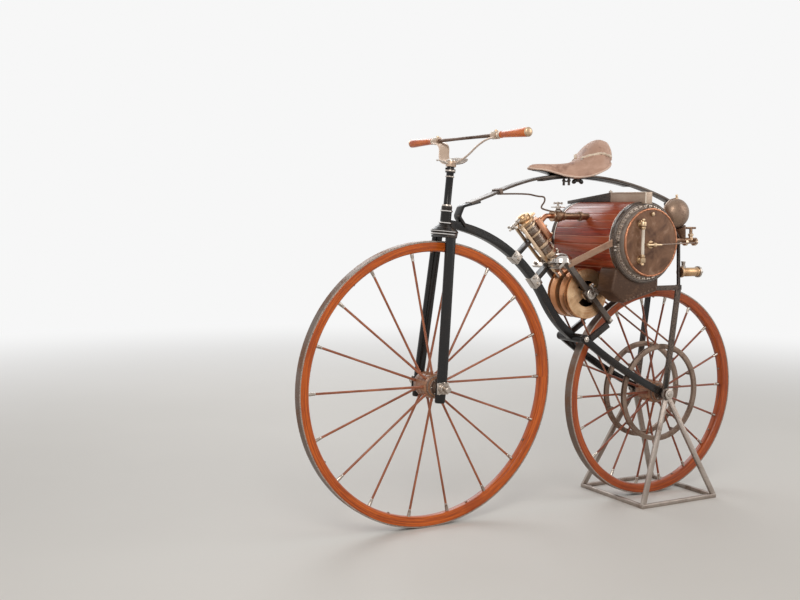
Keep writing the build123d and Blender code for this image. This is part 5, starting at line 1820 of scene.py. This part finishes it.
def cast_bronze():
    """Tan bronze, scratched round the axis, redder on the rim, and near black with painted shade in the recess
    by the hub.
    """
    f = Finish("cast_bronze", Metallic=0.85)
    reach = f.polar(crank, 1, 1, 1)[2]
    broad = f.noise(f.spread((1, 1, 1)), 16, 4, 0.55, 0.6)
    scratch = f.noise(f.polar(crank, 0.4, 420, 60)[0], 1.0, 4)
    body = f.mix(f.mask(broad, 0.35, 0.65), (0.70, 0.46, 0.265), (0.44, 0.235, 0.115))
    body = f.mix(f.math("MULTIPLY", f.mask(scratch, 0.5, 0.75), 0.45), body, (0.80, 0.64, 0.46))
    edge = f.mask(reach, rim_from, rim_full)
    body = f.mix(f.math("MULTIPLY", edge, 0.7), body, (0.55, 0.20, 0.070))
    # Painted shade: near the hub, on the inner faces between the two flywheels, the colour turns near black.
    split = f.tree.nodes.new("ShaderNodeSeparateXYZ")
    f.put(split.inputs[0], f.coords)
    side = f.math("ABSOLUTE", split.outputs["Y"])
    inside = f.math("MULTIPLY", f.math("LESS_THAN", side, recess_y), f.math("LESS_THAN", reach, recess_r))
    f.colour(f.mix(f.math("MULTIPLY", inside, 0.93), body, (0.035, 0.016, 0.009)))
    f.rough(f.mask(broad, 0.3, 0.7), 0.24, 0.44)
    f.bump(scratch, 0.0002)
    return f.material


eased("flywheels", cast_bronze(), 1.3, 3, 25)
eased("crankshaft", bright_steel, 1.0, 2)
flywheel_hub = [(10.4, 55), (21, 55), (22, 56.2), (22, 58), (20, 59.2), (14, 59.6), (10.4, 59.6)]
hubs, hub_bolts = [], []
for s in SIDES.values():
    hubs.append(turned_ring(at_side(s, flywheel_hub), crank, Y, 40))
    hub_bolts += bolt_circle(crank + Y * s * 58.4 * mm, Y * s, X, Z, 17.5, 4, 0.4)
finish_piece(joined(hubs), "flywheel_hubs", "crank", brass)
finish_piece(spots(nut(2.8, 1.8), hub_bolts), "flywheel_bolts", "crank", brown_iron)

bearing = [(10.3, 0), (18, 0), (18.6, 1), (18.6, 3), (17, 4.4), (10.3, 4.4)]
bearing_y, cap_y, rail_y = 79.0, 70.0, 79.2
for name, s in SIDES.items():
    eased(f"engine_rail_{name}", rail_iron, 1.6, 3)
    cap = [turned_ring(bearing, crank + Y * s * bearing_y * mm, Y * s, 36),
           block(50, 17, 9, engine(0, -23, s * cap_y), cyl_ahead, 1.6)]
    finish_piece(joined(cap), f"bearing_cap_{name}", "frame", bright_steel)
    studs = [(engine(t, -27, s * cap_y), -cyl_ahead) for t in (16, -16)]
    finish_piece(spots(nut(7, 7, 0.55), studs), f"bearing_studs_{name}", "frame",
                 polished_steel)
    rail_bolts = [(engine(t, 0, s * rail_y), Y * s) for t in (-130, 150)]
    finish_piece(spots(nut(7, 5), rail_bolts), f"rail_bolts_{name}", "frame", bright_steel)
print("flywheels and rails done")

# %% [markdown]
# ## Clamps
#
# The engine hangs from the backbone by two split clamps. The backbone bends round the front wheel in an
# arc about its axle, so each clamp's seat is where a line square to the cylinder meets that arc.

# %% Brackets and backbone clamps
eased("engine_brackets", black_iron, 2.0, 3)
spine_r = front_r + 58 * mm


def to_backbone(p):
    """How far the backbone's middle lies from p, square to the cylinder."""
    line = front_axle - p
    across = line.dot(cyl_ahead)
    return across - (across ** 2 - line.length_squared + spine_r ** 2) ** 0.5


clamps, clamp_bolts = [], []
for t, length in ((165, 46), (283, 38)):
    seat = engine(t)
    seat = seat + cyl_ahead * to_backbone(seat)
    out = (seat - front_axle).normalized()
    clamps.append(block(length, 33, 36, seat, out, 3.0))
    along = out.cross(Y) * (length / 2 - 9) * mm
    clamp_bolts += [(seat + Y * s * 16 * mm + along * end, Y * s) for s in SIDES.values() for end in (1, -1)]
finish_piece(joined(clamps), "backbone_clamps", "frame", clamp_steel)
finish_piece(spots(nut(6.5, 5), clamp_bolts), "clamp_bolts", "frame", bright_steel)


print("backbone clamped")

# %% [markdown]
# ## Belts
#
# Two flat leather belts run from the flywheels to the rings on the rear wheel. Their loops are right in
# the frame, so only their edges are broken. The leather is dry and frayed, so its finish is rough and
# mixed from fine noise.

# %% Belts


def belt_leather():
    """Brown leather with a fine fray and long pale patches."""
    f = Finish("belt_leather")
    fray = f.noise(f.spread((120, 120, 120)), 1.0, 5, 0.65)
    long = f.noise(f.spread((20, 20, 20)), 1.0, 4)
    body = f.mix(f.mask(fray, 0.35, 0.65), (0.17, 0.055, 0.028), (0.34, 0.125, 0.065))
    f.colour(f.mix(f.math("MULTIPLY", f.mask(long, 0.5, 0.7), 0.5), body, (0.46, 0.21, 0.12)))
    f.rough(fray, 0.45, 0.7)
    f.bump(fray, 0.0005)
    return f.material


leather_belt = belt_leather()
for name in SIDES:
    eased(f"belt_{name}", leather_belt, 0.3, 1, 60)
print("belts laid on")

# %% [markdown]
# ## Steam way
#
# Steam leaves the barrel through a stop valve, bends down in a copper elbow and enters the chest. A thin
# rod runs back from a clasp on the spring to the valve, so that the rider can open it while riding.

# %% Stop valve, elbow and throttle rod
valve_low, valve_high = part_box("steam_valve")
valve_at = Vector((valve_high.x, 0, valve_low.z + 21 * mm))
body = turned([(19, 0), (19, 5), (17.5, 6.5), (13, 8), (12.5, 12), (20, 18), (21, 26), (21, 32), (19, 40),
               (13, 46), (15.5, 48), (15.5, 54), (12.4, 56), (12.4, 118), (17, 120), (17, 128), (12, 132),
               (12, 160)], valve_at, -X, 48)
finish_piece(body, "stop_valve", "frame", dark_bronze, ("steam_valve",), 30)
stem = valve_at - X * 27 * mm
parts = [turned([(13, 14), (14, 20), (11, 22), (8, 25), (8, 29), (10.5, 30), (10.5, 34), (4, 36), (3.6, 44),
                 (5, 46), (5, 49), (0, 50.5)], stem, Z, 32),
         block(52, 15, 4.5, stem + Z * 31 * mm, Z, 1.4)]
for side in (1, -1):
    parts.append(turned([(2.6, 0), (3.4, 2), (2.4, 12), (4.2, 15), (4.2, 18), (0, 20)],
                        stem + Z * 45 * mm, X * side, 16))
finish_piece(joined(parts), "stop_valve_bonnet", "frame", bright_steel)
bolts = bolt_circle(valve_at - X * 6 * mm, -X, Y, Z, 15.5, 6)
finish_piece(spots(nut(2.8, 3), bolts), "stop_valve_bolts", "frame", bright_steel)
eased("steam_pipe", copper, 0.8, 2)
collar_profile = [(9, 0), (13.5, 0.5), (14, 2), (14, 5), (12, 7), (9, 7.5)]
collar = turned(collar_profile, engine(300, -45.5), -cyl_ahead, 32)
finish_piece(collar, "elbow_collar", "frame", pale_brass)

rod_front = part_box("throttle_rod")[1]
clasp = bevelled(cut(twin_of("throttle_rod"), (rod_front.x - 22 * mm, 0, 0), -X), 0.8 * mm, 2, 32)
hang = Vector((rod_front.x - 10 * mm, 0, rod_front.z - 19 * mm))
drop = valve_at + (X * 45 + Z * 23) * mm
bend = drop + (Z * 44 - X * 14) * mm
sag = bend.lerp(hang, 0.41) + Z * 8 * mm
seat = valve_at + (Z * 16 - X * 2) * mm
route = [hang, sag, bend + X * 30 * mm, bend, bend - Z * 18 * mm, drop + Z * 12 * mm, drop, seat]
throttle = joined([clasp, pipe(route, 3, 3)])
finish_piece(throttle, "throttle_run", "frame", brown_rod, ("throttle_rod",))
print("steam way done")
